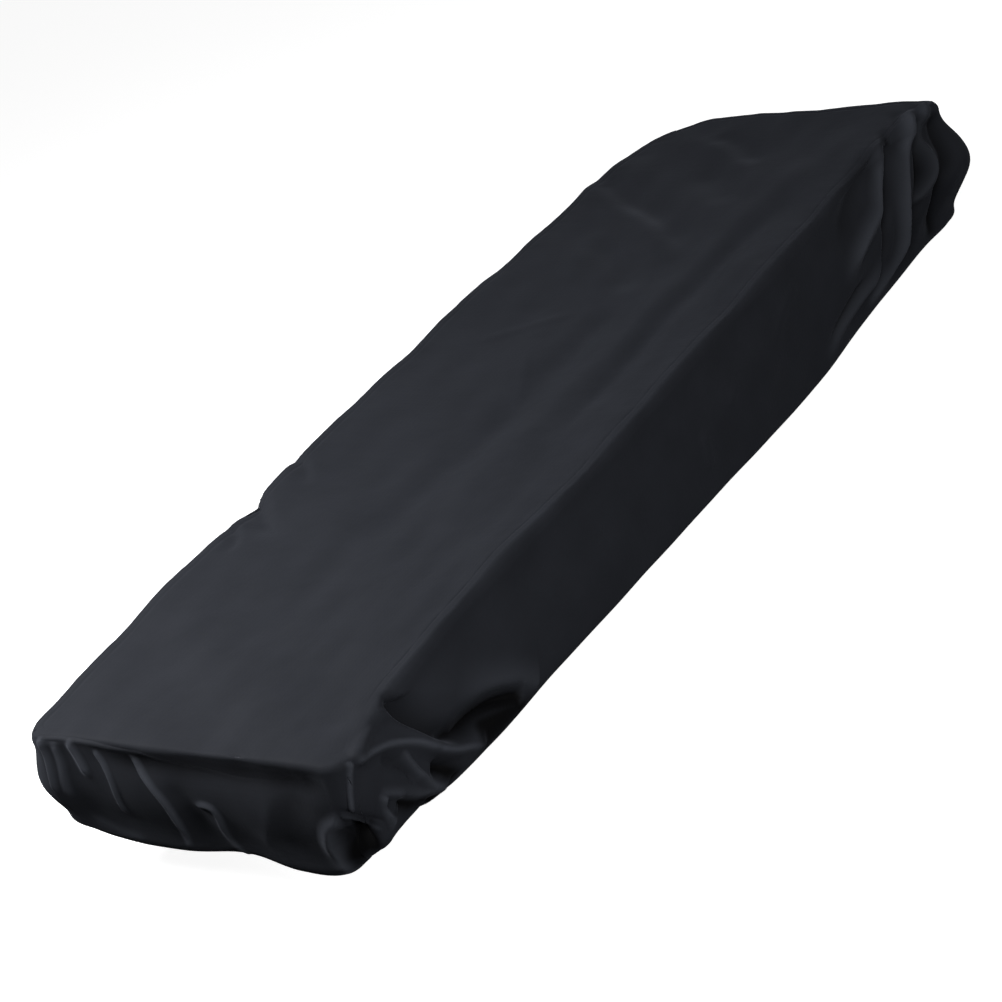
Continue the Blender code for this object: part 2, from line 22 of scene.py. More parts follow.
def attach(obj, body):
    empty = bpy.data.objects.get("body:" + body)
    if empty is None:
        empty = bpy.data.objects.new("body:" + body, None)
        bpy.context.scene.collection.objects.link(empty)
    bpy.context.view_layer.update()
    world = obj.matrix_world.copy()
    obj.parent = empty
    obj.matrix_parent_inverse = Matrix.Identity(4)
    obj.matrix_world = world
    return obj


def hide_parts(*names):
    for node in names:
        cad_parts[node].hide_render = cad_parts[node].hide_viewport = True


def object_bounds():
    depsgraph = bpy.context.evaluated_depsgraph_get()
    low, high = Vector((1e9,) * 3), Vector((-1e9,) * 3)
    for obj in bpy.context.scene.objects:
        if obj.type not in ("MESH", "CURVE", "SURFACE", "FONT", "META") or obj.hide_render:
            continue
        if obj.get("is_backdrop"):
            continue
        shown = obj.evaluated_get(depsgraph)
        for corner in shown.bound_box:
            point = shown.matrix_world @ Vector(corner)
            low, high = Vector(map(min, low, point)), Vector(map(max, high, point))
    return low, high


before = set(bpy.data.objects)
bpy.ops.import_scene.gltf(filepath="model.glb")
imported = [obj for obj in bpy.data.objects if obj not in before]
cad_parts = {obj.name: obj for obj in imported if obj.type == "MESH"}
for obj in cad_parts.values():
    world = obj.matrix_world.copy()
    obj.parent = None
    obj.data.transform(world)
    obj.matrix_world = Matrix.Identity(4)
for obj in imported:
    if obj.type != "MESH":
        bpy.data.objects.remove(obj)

LOG = logging.getLogger("piano_cover")
BODY = "root"
FLAT_UV = "flat_pattern"
# The names of two attributes: painted shade in the troughs, and painted highlight on the crests.
POCKET_SHADE = "painted_pocket_shade"
CREST_HIGHLIGHT = "painted_crest_highlight"
FLOOR_GAP = 0.0005
# The least length that anything is divided by.
TINY = 1e-12


# ---------------------------------------------------------------- how the cloth lies


class Side(Enum):
    """The four sides of the cover."""

    FRONT = "front"
    FAR = "far"
    BACK = "back"
    NEAR = "near"

    @property
    def is_long(self) -> bool:
        """True for the two sides that run along the cover."""
        return self in (Side.FRONT, Side.BACK)


class Section(NamedTuple):
    """A section across a side, at a place along it.

    The top edge stands out by edge and up by rise. The hem lies depth below the top, the skirt swells
    at half its depth and flares at the hem, and the hem rolls under and runs on inwards by tuck. The
    cloth bends over the top edge on a radius of bend.
    """

    along: float
    edge: float
    rise: float
    depth: float
    swell: float
    flare: float
    roll: float
    tuck: float
    bend: float = 0.010


class Hang(NamedTuple):
    """How a skirt hangs at each of its points: the measures that a section gives below the edge."""

    depth: np.ndarray
    swell: np.ndarray
    flare: np.ndarray
    roll: np.ndarray
    tuck: np.ndarray
    bend: np.ndarray


class Fold(NamedTuple):
    """A fold along a path in the flat pattern.

    Pairs hold the value at the start and at the end: the height (a trough's is negative), the widths to
    the left and to the right of the path, and how much of its length fades in and out. A crisp fold has a
    sharp crest between two straight flanks, and a soft one is round.
    """

    name: str
    height: tuple[float, float]
    left: tuple[float, float]
    right: tuple[float, float]
    fade: tuple[float, float]
    path: tuple[tuple[float, float], ...]
    crisp: float = 0.0


class Wave(NamedTuple):
    """A low wave over the whole cloth: its height, its lengths along x and y, and its phase."""

    height: float
    length_x: float
    length_y: float
    phase: float


class SeamPoint(NamedTuple):
    """How far down a skirt a seam runs, at a place along the side, and how plainly it shows there."""

    along: float
    station: float
    strength: float


# The corners' sections, which the sides' tables share. Drape.side_table fills in their place along a side.
# The columns are along, edge, rise, depth, swell, flare, roll, tuck and bend.
NEAR_FRONT = Section(0, 0.000, -0.003, 0.106, 0.004, -0.004, 0.012, 0.002, 0.004)
FAR_FRONT = Section(0, 0.026, -0.002, 0.156, 0.027, -0.008, 0.011, 0.002)
FAR_BACK = Section(0, -0.012, 0.000, 0.150, 0.004, 0.000, 0.014, 0.004)
NEAR_BACK = Section(0, 0.012, 0.000, 0.106, 0.011, -0.004, 0.012, 0.002)

FRONT_SECTIONS = (
    Section(-0.635, -0.014, 0.000, 0.102, 0.004, 0.010, 0.016, 0.006),
    Section(-0.590, -0.025, 0.001, 0.108, 0.002, 0.022, 0.016, 0.008),
    Section(-0.500, -0.030, 0.002, 0.118, 0.002, 0.026, 0.016, 0.008),
    Section(-0.370, -0.030, 0.002, 0.126, 0.003, 0.024, 0.016, 0.008),
    Section(-0.180, -0.018, 0.001, 0.137, 0.003, 0.014, 0.016, 0.008),
    Section(0.050, -0.017, 0.000, 0.152, 0.004, 0.013, 0.016, 0.008),
    Section(0.280, -0.010, 0.000, 0.166, 0.006, 0.006, 0.016, 0.008),
    Section(0.450, -0.008, 0.001, 0.160, 0.013, 0.006, 0.016, 0.008),
    Section(0.600, 0.001, 0.002, 0.158, 0.022, 0.006, 0.015, 0.008),
    Section(0.640, 0.014, 0.001, 0.158, 0.030, 0.000, 0.014, 0.006),
)
FAR_SECTIONS = (
    Section(-0.140, 0.020, 0.000, 0.154, 0.025, -0.010, 0.014, 0.006),
    Section(-0.060, 0.012, 0.001, 0.154, 0.010, 0.000, 0.015, 0.008),
    Section(0.060, 0.008, 0.002, 0.153, 0.006, -0.002, 0.015, 0.008),
    Section(0.130, 0.002, 0.003, 0.150, 0.004, 0.000, 0.014, 0.008),
)
BACK_SECTIONS = (
    Section(-0.630, 0.014, 0.001, 0.110, 0.006, 0.000, 0.015, 0.006),
    Section(-0.520, 0.016, 0.006, 0.116, 0.008, -0.002, 0.016, 0.008),
    Section(-0.300, 0.020, 0.009, 0.128, 0.006, 0.000, 0.016, 0.008),
    Section(-0.060, 0.022, 0.010, 0.138, 0.009, -0.002, 0.016, 0.008),
    Section(0.200, 0.020, 0.009, 0.148, 0.006, 0.000, 0.016, 0.008),
    Section(0.400, 0.014, 0.007, 0.152, 0.008, 0.000, 0.016, 0.008),
    Section(0.520, 0.010, 0.004, 0.152, 0.006, 0.000, 0.015, 0.008),
    Section(0.610, 0.000, 0.003, 0.150, 0.004, 0.000, 0.014, 0.008),
)
NEAR_SECTIONS = (
    Section(-0.145, 0.002, 0.000, 0.128, 0.008, 0.000, 0.018, 0.006, 0.004),
    Section(-0.085, 0.002, 0.000, 0.134, 0.008, -0.002, 0.020, 0.008, 0.005),
    Section(-0.030, 0.002, 0.000, 0.124, 0.006, -0.004, 0.020, 0.008, 0.005),
    Section(0.060, 0.002, 0.000, 0.130, 0.008, -0.002, 0.020, 0.008, 0.005),
    Section(0.145, 0.002, 0.000, 0.122, 0.006, -0.002, 0.016, 0.006, 0.005),
)
SIDE_TABLES: dict[Side, tuple[Section, tuple[Section, ...], Section]] = {
    Side.FRONT: (NEAR_FRONT, FRONT_SECTIONS, FAR_FRONT),
    Side.FAR: (FAR_FRONT, FAR_SECTIONS, FAR_BACK),
    Side.BACK: (NEAR_BACK, BACK_SECTIONS, FAR_BACK),
    Side.NEAR: (NEAR_FRONT, NEAR_SECTIONS, NEAR_BACK),
}

# The top panel runs over the near end's edge, down to this line.
NEAR_SEAM = (
    SeamPoint(-0.1855, 0.35, 0.00),
    SeamPoint(-0.1400, 1.00, 0.00),
    SeamPoint(-0.0800, 1.16, 0.15),
    SeamPoint(-0.0250, 1.14, 0.50),
    SeamPoint(0.0080, 1.09, 1.00),
    SeamPoint(0.0510, 1.00, 1.00),
    SeamPoint(0.0960, 0.72, 1.00),
    SeamPoint(0.1530, 0.45, 1.00),
    SeamPoint(0.1855, 0.35, 0.60),
)

# Corner radii of the top edge: the far back corner is drawn round.
CORNER_RADII = {(-1, -1): 0.028, (1, -1): 0.028, (1, 1): 0.075, (-1, 1): 0.028}

# The rim that runs from the near front corner out to the hem. A thin line follows its crest.
CORNER_RIM = ((-0.663, -0.187), (-0.650, -0.192), (-0.629, -0.202), (-0.609, -0.213), (-0.588, -0.228),
              (-0.570, -0.246), (-0.551, -0.262), (-0.526, -0.276), (-0.500, -0.292))

# The main folds. The solids have them too, some of them a little larger or smaller.
MAIN_FOLDS = (
    Fold("corner_rim", (0.003, 0.016), (0.010, 0.008), (0.006, 0.006), (0.05, 0.05),
         CORNER_RIM, 0.8),
    Fold("lobe_crease", (-0.008, -0.012), (0.020, 0.014), (0.004, 0.005), (0.12, 0.20),
         ((-0.570, -0.180), (-0.580, -0.190), (-0.579, -0.202), (-0.570, -0.220), (-0.558, -0.238),
          (-0.548, -0.250), (-0.530, -0.262))),
    Fold("lobe_rim", (0.002, 0.005), (0.016, 0.034), (0.008, 0.012), (0.25, 0.45),
         ((-0.583, -0.180), (-0.568, -0.187), (-0.535, -0.209), (-0.507, -0.228), (-0.473, -0.252)), 0.5),
    Fold("great_pocket", (-0.014, -0.022), (0.010, 0.010), (0.009, 0.009), (0.20, 0.05),
         ((-0.556, -0.246), (-0.530, -0.258), (-0.506, -0.261), (-0.483, -0.266), (-0.460, -0.275),
          (-0.430, -0.292)), 0.4),
    Fold("middle_pocket", (-0.014, -0.020), (0.010, 0.010), (0.008, 0.009), (0.20, 0.10),
         ((-0.582, -0.258), (-0.568, -0.269), (-0.560, -0.280), (-0.552, -0.298)), 0.4),
    Fold("low_pocket", (-0.012, -0.018), (0.006, 0.008), (0.010, 0.012), (0.20, 0.10),
         ((-0.634, -0.254), (-0.617, -0.268), (-0.600, -0.282), (-0.585, -0.298)), 0.4),
    Fold("hem_curl", (0.005, 0.009), (0.005, 0.006), (0.005, 0.008), (0.20, 0.05),
         ((-0.718, -0.170), (-0.728, -0.160), (-0.737, -0.149), (-0.747, -0.144), (-0.762, -0.139),
          (-0.779, -0.138), (-0.800, -0.144)), 0.7),
    Fold("hem_scoop", (-0.018, -0.016), (0.020, 0.018), (0.026, 0.022), (0.10, 0.30),
         ((-0.795, -0.164), (-0.767, -0.168), (-0.749, -0.195), (-0.728, -0.237), (-0.705, -0.264),
          (-0.690, -0.285))),
    Fold("near_diagonal", (0.0035, 0.005), (0.0026, 0.0034), (0.0026, 0.0034), (0.10, 0.08),
         ((-0.682, 0.064), (-0.702, 0.054), (-0.717, 0.044), (-0.733, 0.036), (-0.754, 0.035),
          (-0.795, 0.041)), 0.7),
    Fold("near_upper_diagonal", (0.003, 0.0035), (0.0024, 0.0024), (0.0024, 0.0026), (0.10, 0.20),
         ((-0.682, 0.104), (-0.701, 0.095), (-0.718, 0.092), (-0.738, 0.093), (-0.758, 0.094)), 0.7),
    Fold("near_low_diagonal", (0.003, 0.006), (0.0028, 0.0036), (0.0034, 0.0050), (0.15, 0.05),
         ((-0.734, 0.008), (-0.731, -0.010), (-0.740, -0.018), (-0.769, -0.014), (-0.800, -0.026)), 0.6),
    Fold("near_hollow", (-0.002, -0.004), (0.014, 0.014), (0.014, 0.014), (0.25, 0.10),
         ((-0.700, 0.030), (-0.740, 0.012), (-0.795, 0.004))),
    Fold("near_front_hollow", (-0.003, -0.005), (0.030, 0.030), (0.020, 0.020), (0.30, 0.20),
         ((-0.688, -0.135), (-0.725, -0.112), (-0.780, -0.094))),
    Fold("far_long_ridge", (0.010, 0.014), (0.006, 0.006), (0.008, 0.010), (0.14, 0.10),
         ((0.640, -0.166), (0.614, -0.179), (0.588, -0.200), (0.562, -0.222), (0.541, -0.240),
          (0.524, -0.256), (0.513, -0.275), (0.503, -0.295), (0.482, -0.314), (0.445, -0.322),
          (0.400, -0.324)), 0.6),
    Fold("far_hem_ridge", (0.009, 0.008), (0.007, 0.008), (0.009, 0.009), (0.30, 0.20),
         ((0.478, -0.284), (0.444, -0.296), (0.409, -0.303), (0.362, -0.308), (0.325, -0.315),
          (0.276, -0.332)), 0.4),
    Fold("far_inner_ridge", (0.008, 0.009), (0.005, 0.007), (0.008, 0.010), (0.26, 0.30),
         ((0.560, -0.176), (0.540, -0.190), (0.515, -0.207), (0.492, -0.223), (0.471, -0.238),
          (0.438, -0.246), (0.404, -0.254), (0.372, -0.263), (0.345, -0.271)), 0.6),
    Fold("far_inner_trough", (-0.009, -0.012), (0.008, 0.008), (0.006, 0.006), (0.22, 0.20),
         ((0.594, -0.160), (0.569, -0.177), (0.538, -0.203), (0.515, -0.223), (0.493, -0.238),
          (0.478, -0.252), (0.462, -0.280), (0.445, -0.300), (0.415, -0.305)), 0.4),
    Fold("far_soft_trough", (-0.005, -0.006), (0.012, 0.018), (0.012, 0.020), (0.20, 0.30),
         ((0.540, -0.176), (0.490, -0.185), (0.454, -0.193), (0.409, -0.213), (0.350, -0.243))),
    Fold("far_outer_trough", (-0.012, -0.016), (0.012, 0.012), (0.006, 0.008), (0.08, 0.10),
         ((0.622, -0.182), (0.608, -0.208), (0.592, -0.228), (0.572, -0.248), (0.553, -0.268),
          (0.540, -0.290), (0.534, -0.325)), 0.3),
    Fold("far_outer_ridge", (0.009, 0.010), (0.005, 0.006), (0.007, 0.007), (0.08, 0.20),
         ((0.645, -0.176), (0.624, -0.192), (0.612, -0.208), (0.608, -0.222), (0.603, -0.238),
          (0.594, -0.250), (0.570, -0.262), (0.553, -0.268), (0.540, -0.280)), 0.6),
    Fold("far_end_trough", (-0.010, -0.014), (0.010, 0.012), (0.009, 0.012), (0.12, 0.10),
         ((0.650, -0.190), (0.636, -0.212), (0.624, -0.238), (0.606, -0.262), (0.598, -0.285),
          (0.597, -0.312), (0.590, -0.340)), 0.3),
    Fold("far_low_trough", (-0.008, -0.009), (0.007, 0.007), (0.007, 0.007), (0.30, 0.20),
         ((0.415, -0.288), (0.382, -0.295), (0.345, -0.302), (0.290, -0.320)), 0.3),
    Fold("front_soft_band", (0.004, 0.004), (0.030, 0.030), (0.030, 0.030), (0.30, 0.30),
         ((0.290, -0.205), (0.215, -0.230), (0.120, -0.252), (-0.020, -0.262))),
    Fold("top_ridge", (0.004, 0.006), (0.024, 0.028), (0.024, 0.026), (0.15, 0.30),
         ((0.540, -0.100), (0.383, -0.080), (0.233, -0.071), (0.104, -0.072), (0.010, -0.069),
          (-0.091, -0.058), (-0.200, -0.056), (-0.290, -0.058), (-0.400, -0.070))),
    Fold("top_front_valley", (-0.004, -0.004), (0.016, 0.018), (0.016, 0.014), (0.20, 0.20),
         ((0.430, -0.118), (0.367, -0.108), (0.198, -0.101), (0.039, -0.099), (-0.104, -0.104),
          (-0.165, -0.118))),
    Fold("top_valley", (-0.007, -0.005), (0.020, 0.036), (0.020, 0.030), (0.12, 0.35),
         ((0.185, -0.018), (0.113, -0.012), (0.030, -0.008), (-0.060, -0.002), (-0.148, 0.002),
          (-0.255, 0.010), (-0.358, 0.032), (-0.500, 0.030))),
    Fold("s_ridge", (0.004, 0.005), (0.026, 0.024), (0.020, 0.020), (0.10, 0.30),
         ((0.490, 0.200), (0.465, 0.176), (0.405, 0.117), (0.354, 0.056), (0.299, 0.009),
          (0.249, -0.020), (0.205, -0.034))),
    Fold("s_hollow", (-0.003, -0.004), (0.016, 0.016), (0.020, 0.018), (0.30, 0.25),
         ((0.330, 0.110), (0.290, 0.070), (0.250, 0.035), (0.215, 0.008), (0.170, -0.016))),
    Fold("s_trough", (-0.004, -0.005), (0.022, 0.022), (0.018, 0.018), (0.15, 0.25),
         ((0.510, 0.185), (0.435, 0.112), (0.378, 0.044), (0.315, -0.008), (0.262, -0.032))),
    Fold("far_top_ridge", (0.003, 0.003), (0.018, 0.018), (0.016, 0.016), (0.25, 0.30),
         ((0.615, 0.126), (0.575, 0.070), (0.545, 0.034), (0.502, -0.008), (0.455, -0.041),
          (0.405, -0.066))),
    Fold("far_top_hollow", (-0.002, -0.002), (0.018, 0.018), (0.020, 0.020), (0.30, 0.30),
         ((0.520, 0.050), (0.470, 0.016), (0.428, -0.012), (0.396, -0.038))),
    Fold("far_top_trough", (-0.003, -0.004), (0.014, 0.014), (0.022, 0.022), (0.20, 0.30),
         ((0.612, 0.080), (0.580, 0.028), (0.515, -0.026))),
    Fold("back_dent", (-0.009, -0.005), (0.008, 0.008), (0.018, 0.018), (0.08, 0.40),
         ((-0.268, 0.192), (-0.290, 0.170), (-0.316, 0.148), (-0.350, 0.120))),
)

# Creases too fine for the solids.
FINE_FOLDS = (
    Fold("facet_edge", (0.002, 0.006), (0.004, 0.004), (0.008, 0.006), (0.25, 0.30),
         ((-0.580, -0.176), (-0.594, -0.186), (-0.588, -0.202), (-0.579, -0.222), (-0.567, -0.243),
          (-0.560, -0.252)), 0.7),
    Fold("pocket_rim", (0.004, 0.008), (0.020, 0.014), (0.005, 0.005), (0.40, 0.05),
         ((-0.530, -0.242), (-0.508, -0.244), (-0.484, -0.249), (-0.460, -0.257), (-0.434, -0.271),
          (-0.400, -0.296)), 0.5),
    Fold("middle_rim", (0.004, 0.008), (0.003, 0.0035), (0.0035, 0.004), (0.12, 0.10),
         ((-0.600, -0.224), (-0.598, -0.246), (-0.591, -0.263), (-0.580, -0.280), (-0.566, -0.298)), 0.8),
    Fold("middle_trough", (-0.004, -0.005), (0.007, 0.006), (0.007, 0.006), (0.25, 0.25),
         ((-0.634, -0.210), (-0.616, -0.226), (-0.607, -0.242), (-0.602, -0.260))),
    Fold("low_rim", (0.003, 0.008), (0.004, 0.005), (0.003, 0.003), (0.12, 0.10),
         ((-0.649, -0.233), (-0.632, -0.246), (-0.616, -0.260), (-0.601, -0.271), (-0.590, -0.278),
          (-0.574, -0.292)), 0.8),
    Fold("corner_crest", (0.003, 0.003), (0.0026, 0.0026), (0.0026, 0.0026), (0.04, 0.12),
         ((-0.662, -0.183), (-0.682, -0.190), (-0.704, -0.195), (-0.712, -0.195)), 0.8),
    Fold("near_fold_1", (0.003, 0.0035), (0.0035, 0.0035), (0.0035, 0.0035), (0.12, 0.20),
         ((-0.672, 0.162), (-0.696, 0.158), (-0.718, 0.158), (-0.733, 0.161)), 0.6),
    Fold("near_fold_2", (0.004, 0.004), (0.0035, 0.0035), (0.004, 0.004), (0.15, 0.30),
         ((-0.675, 0.129), (-0.693, 0.124), (-0.717, 0.118)), 0.7),
    Fold("near_fold_3", (0.0025, 0.0025), (0.004, 0.004), (0.004, 0.004), (0.15, 0.20),
         ((-0.677, 0.147), (-0.699, 0.145), (-0.721, 0.147), (-0.740, 0.150)), 0.3),
    Fold("near_crescent", (0.004, 0.004), (0.006, 0.006), (0.009, 0.009), (0.25, 0.25),
         ((-0.761, 0.146), (-0.771, 0.136), (-0.782, 0.115), (-0.787, 0.084)), 0.3),
    Fold("corner_rim_line", (0.0015, 0.0020), (0.0022, 0.0026), (0.0022, 0.0026), (0.06, 0.15),
         CORNER_RIM, 0.6),
    # The three mouths are shallow troughs that mostly carry painted shade out past the pockets.
    Fold("great_pocket_mouth", (-0.001, -0.001), (0.014, 0.016), (0.016, 0.018), (0.20, 0.05),
         ((-0.520, -0.276), (-0.490, -0.287), (-0.455, -0.300), (-0.425, -0.318), (-0.400, -0.335))),
    Fold("low_pocket_mouth", (-0.001, -0.001), (0.010, 0.010), (0.010, 0.010), (0.20, 0.05),
         ((-0.612, -0.272), (-0.592, -0.288), (-0.575, -0.305))),
    Fold("scoop_mouth", (-0.001, -0.001), (0.013, 0.012), (0.013, 0.012), (0.10, 0.05),
         ((-0.735, -0.162), (-0.752, -0.157), (-0.770, -0.155), (-0.790, -0.156), (-0.805, -0.160))),
    Fold("near_edge_shade", (-0.0035, -0.0045), (0.008, 0.010), (0.012, 0.014), (0.20, 0.10),
         ((-0.683, 0.120), (-0.690, 0.060), (-0.692, 0.000), (-0.692, -0.060), (-0.691, -0.120),
          (-0.688, -0.165))),
    Fold("near_soft_line", (0.0008, 0.0008), (0.007, 0.007), (0.007, 0.007), (0.30, 0.30),
         ((-0.706, -0.094), (-0.739, -0.080), (-0.781, -0.053))),
    Fold("corner_low_rim", (0.005, 0.005), (0.003, 0.003), (0.005, 0.005), (0.12, 0.10),
         ((-0.643, -0.236), (-0.650, -0.247), (-0.646, -0.260), (-0.637, -0.275)), 0.8),
    Fold("corner_small_rim", (0.003, 0.003), (0.003, 0.003), (0.003, 0.003), (0.20, 0.20),
         ((-0.637, -0.266), (-0.632, -0.263), (-0.625, -0.261)), 0.6),
    Fold("corner_streak", (0.003, 0.002), (0.005, 0.005), (0.004, 0.004), (0.25, 0.35),
         ((-0.664, -0.184), (-0.647, -0.188), (-0.625, -0.189), (-0.605, -0.190)), 0.3),
    Fold("hem_line", (-0.0015, -0.0015), (0.002, 0.002), (0.002, 0.002), (0.12, 0.20),
         ((-0.716, -0.167), (-0.712, -0.190), (-0.708, -0.210), (-0.698, -0.229), (-0.678, -0.249),
          (-0.645, -0.266)), 0.5),
    Fold("hem_edge", (0.002, 0.0025), (0.002, 0.002), (0.002, 0.002), (0.12, 0.20),
         ((-0.723, -0.165), (-0.721, -0.189), (-0.718, -0.210), (-0.710, -0.233), (-0.697, -0.250),
          (-0.672, -0.268)), 0.6),
    Fold("soft_line", (0.0012, 0.0012), (0.009, 0.009), (0.006, 0.006), (0.25, 0.25),
         ((0.060, 0.120), (0.103, 0.071), (0.140, 0.028))),
    Fold("middle_line", (0.0012, 0.0012), (0.004, 0.004), (0.007, 0.007), (0.25, 0.25),
         ((0.050, 0.048), (0.020, 0.030), (-0.030, 0.010), (-0.073, -0.002))),
    Fold("near_top_shade", (-0.0015, -0.0015), (0.014, 0.014), (0.014, 0.014), (0.25, 0.25),
         ((-0.632, -0.100), (-0.617, -0.144), (-0.596, -0.168))),
    Fold("back_dent_2", (-0.004, -0.003), (0.006, 0.006), (0.011, 0.011), (0.10, 0.40),
         ((-0.190, 0.188), (-0.207, 0.168), (-0.250, 0.136))),
    Fold("back_dent_3", (-0.003, -0.003), (0.005, 0.005), (0.009, 0.009), (0.10, 0.40),
         ((-0.325, 0.178), (-0.350, 0.160), (-0.384, 0.148))),
    Fold("side_crease_1", (0.003, 0.002), (0.012, 0.012), (0.007, 0.007), (0.25, 0.30),
         ((0.268, -0.217), (0.225, -0.225), (0.196, -0.237), (0.165, -0.256))),
    Fold("side_crease_2", (0.002, 0.002), (0.008, 0.008), (0.005, 0.005), (0.30, 0.30),
         ((0.085, -0.240), (0.045, -0.258))),
    Fold("side_crease_3", (0.003, 0.003), (0.010, 0.010), (0.005, 0.005), (0.25, 0.30),
         ((-0.012, -0.250), (-0.018, -0.300))),
)

FOLDS = (*MAIN_FOLDS, *FINE_FOLDS)

# How many of its widths to each side a fold is worked out. It adds nothing beyond.
FOLD_REACH = 3.2
# How many of its widths a crisp fold's flanks run out, how much they flatten towards their foot (over 1),
# and how round its crest is, as a share of its width.
FLANKS = 2.0
FLANK_POWER = 1.5
CREST = 0.12

# How dark the painted shade is at the bottom of a trough, where little light gets in. Over 1, the painted
# shade spreads up its sides.
PAINTED_SHADE = {
    "lobe_crease": 0.75, "great_pocket": 1.60, "middle_pocket": 1.40, "low_pocket": 1.40, "hem_scoop": 1.50,
    "near_hollow": 0.25, "near_front_hollow": 0.50, "near_edge_shade": 0.65, "middle_trough": 0.30,
    "hem_line": 0.40, "great_pocket_mouth": 1.80, "low_pocket_mouth": 1.30, "scoop_mouth": 0.80,
    "far_inner_trough": 0.90, "far_soft_trough": 0.35, "far_outer_trough": 1.00, "far_end_trough": 0.90,
    "far_low_trough": 0.80,
}

# How strong the painted highlight is on the crest of a fold, where the light catches it.
PAINTED_HIGHLIGHT = {
    "near_diagonal": 0.60, "near_upper_diagonal": 0.50, "near_low_diagonal": 0.60,
    "near_fold_1": 0.40, "near_fold_2": 0.50, "near_fold_3": 0.30, "near_crescent": 0.30,
    "corner_rim": 0.12, "corner_rim_line": 0.50, "corner_crest": 0.40, "corner_low_rim": 0.35,
    "hem_curl": 0.50, "hem_edge": 0.30, "lobe_rim": 0.08, "pocket_rim": 0.25, "middle_rim": 0.40,
    "low_rim": 0.45, "far_long_ridge": 0.50, "far_inner_ridge": 0.46, "far_outer_ridge": 0.24,
    "far_hem_ridge": 0.30,
}

WAVES = (
    Wave(0.0012, 0.310, 0.270, 0.4),
    Wave(0.0009, -0.190, 0.230, 1.7),
    Wave(0.0006, 0.110, -0.170, 2.9),
)
FINE_WAVES = (
    Wave(0.0003, 0.520, 0.061, 0.9),
    Wave(0.0002, -0.230, 0.043, 2.2),
)


def spline(
    at: np.ndarray,
    knots: Sequence[float] | np.ndarray,
    values: Sequence[float] | np.ndarray,
    level_ends: bool = False,
) -> np.ndarray:
    """Draw a smooth curve through the knots of a table.

    Args:
        at: Places to read the curve at.
        knots: The table's places, in rising order.
        values: The table's values there.
        level_ends: Whether the curve starts and ends level.

    Returns:
        The curve's value at each place.
    """
    knots = np.asarray(knots, float)
    values = np.asarray(values, float)
    slopes = np.gradient(values, knots)
    if level_ends:
        slopes[[0, -1]] = 0.0
    i = np.clip(np.searchsorted(knots, at, side="right") - 1, 0, len(knots) - 2)
    step = knots[i + 1] - knots[i]
    t = np.clip((at - knots[i]) / step, 0.0, 1.0)
    low = (1 + 2 * t) * (1 - t) ** 2 * values[i] + t * (1 - t) ** 2 * step * slopes[i]
    high = t ** 2 * (3 - 2 * t) * values[i + 1] - t ** 2 * (1 - t) * step * slopes[i + 1]
    return low + high


def smooth(t: np.ndarray) -> np.ndarray:
    """Ease from 0 to 1."""
    t = np.clip(t, 0.0, 1.0)
    return t * t * (3 - 2 * t)


def fold_height(fold: Fold, x: np.ndarray, y: np.ndarray, path_steps: int) -> np.ndarray:
    """Work out one fold's height over the flat pattern.

    Args:
        fold: The fold.
        x: Places along the pattern.
        y: Places across it.
        path_steps: Straight steps between two points of the fold's path.

    Returns:
        The height at each place.
    """
    path = np.array(fold.path)
    knots = np.arange(len(path), dtype=float)
    fine = np.linspace(0, knots[-1], path_steps * (len(path) - 1) + 1)
    path = np.stack([spline(fine, knots, path[:, 0]), spline(fine, knots, path[:, 1])], axis=1)
    reach = FOLD_REACH * max(*fold.left, *fold.right)
    near = ((x > path[:, 0].min() - reach) & (x < path[:, 0].max() + reach)
            & (y > path[:, 1].min() - reach) & (y < path[:, 1].max() + reach))
    height = np.zeros_like(x)
    px, py = x[near], y[near]
    lengths = np.hypot(*np.diff(path, axis=0).T)
    starts = np.concatenate([[0], np.cumsum(lengths)])
    best = np.full(px.shape, np.inf)
    run = np.zeros_like(px)
    on_left = np.zeros(px.shape, bool)
    for a, b, length, start in zip(path[:-1], path[1:], lengths, starts[:-1]):
        way = b - a
        t = np.clip(((px - a[0]) * way[0] + (py - a[1]) * way[1]) / length ** 2, 0, 1)
        off_x, off_y = px - a[0] - t * way[0], py - a[1] - t * way[1]
        distance = np.hypot(off_x, off_y)
        closer = distance < best
        best = np.where(closer, distance, best)
        run = np.where(closer, (start + t * length) / starts[-1], run)
        on_left = np.where(closer, way[0] * off_y - way[1] * off_x > 0, on_left)
    size = fold.height[0] + (fold.height[1] - fold.height[0]) * run
    size = size * smooth(run / fold.fade[0]) * smooth((1 - run) / fold.fade[1])
    left = fold.left[0] + (fold.left[1] - fold.left[0]) * run
    right = fold.right[0] + (fold.right[1] - fold.right[0]) * run
    share = best / np.where(on_left, left, right)
    tent = np.clip(1 - (np.hypot(share, CREST) - CREST) / FLANKS, 0, 1) ** FLANK_POWER
    height[near] = size * ((1 - fold.crisp) * np.exp(-share ** 2) + fold.crisp * tent)
    return height


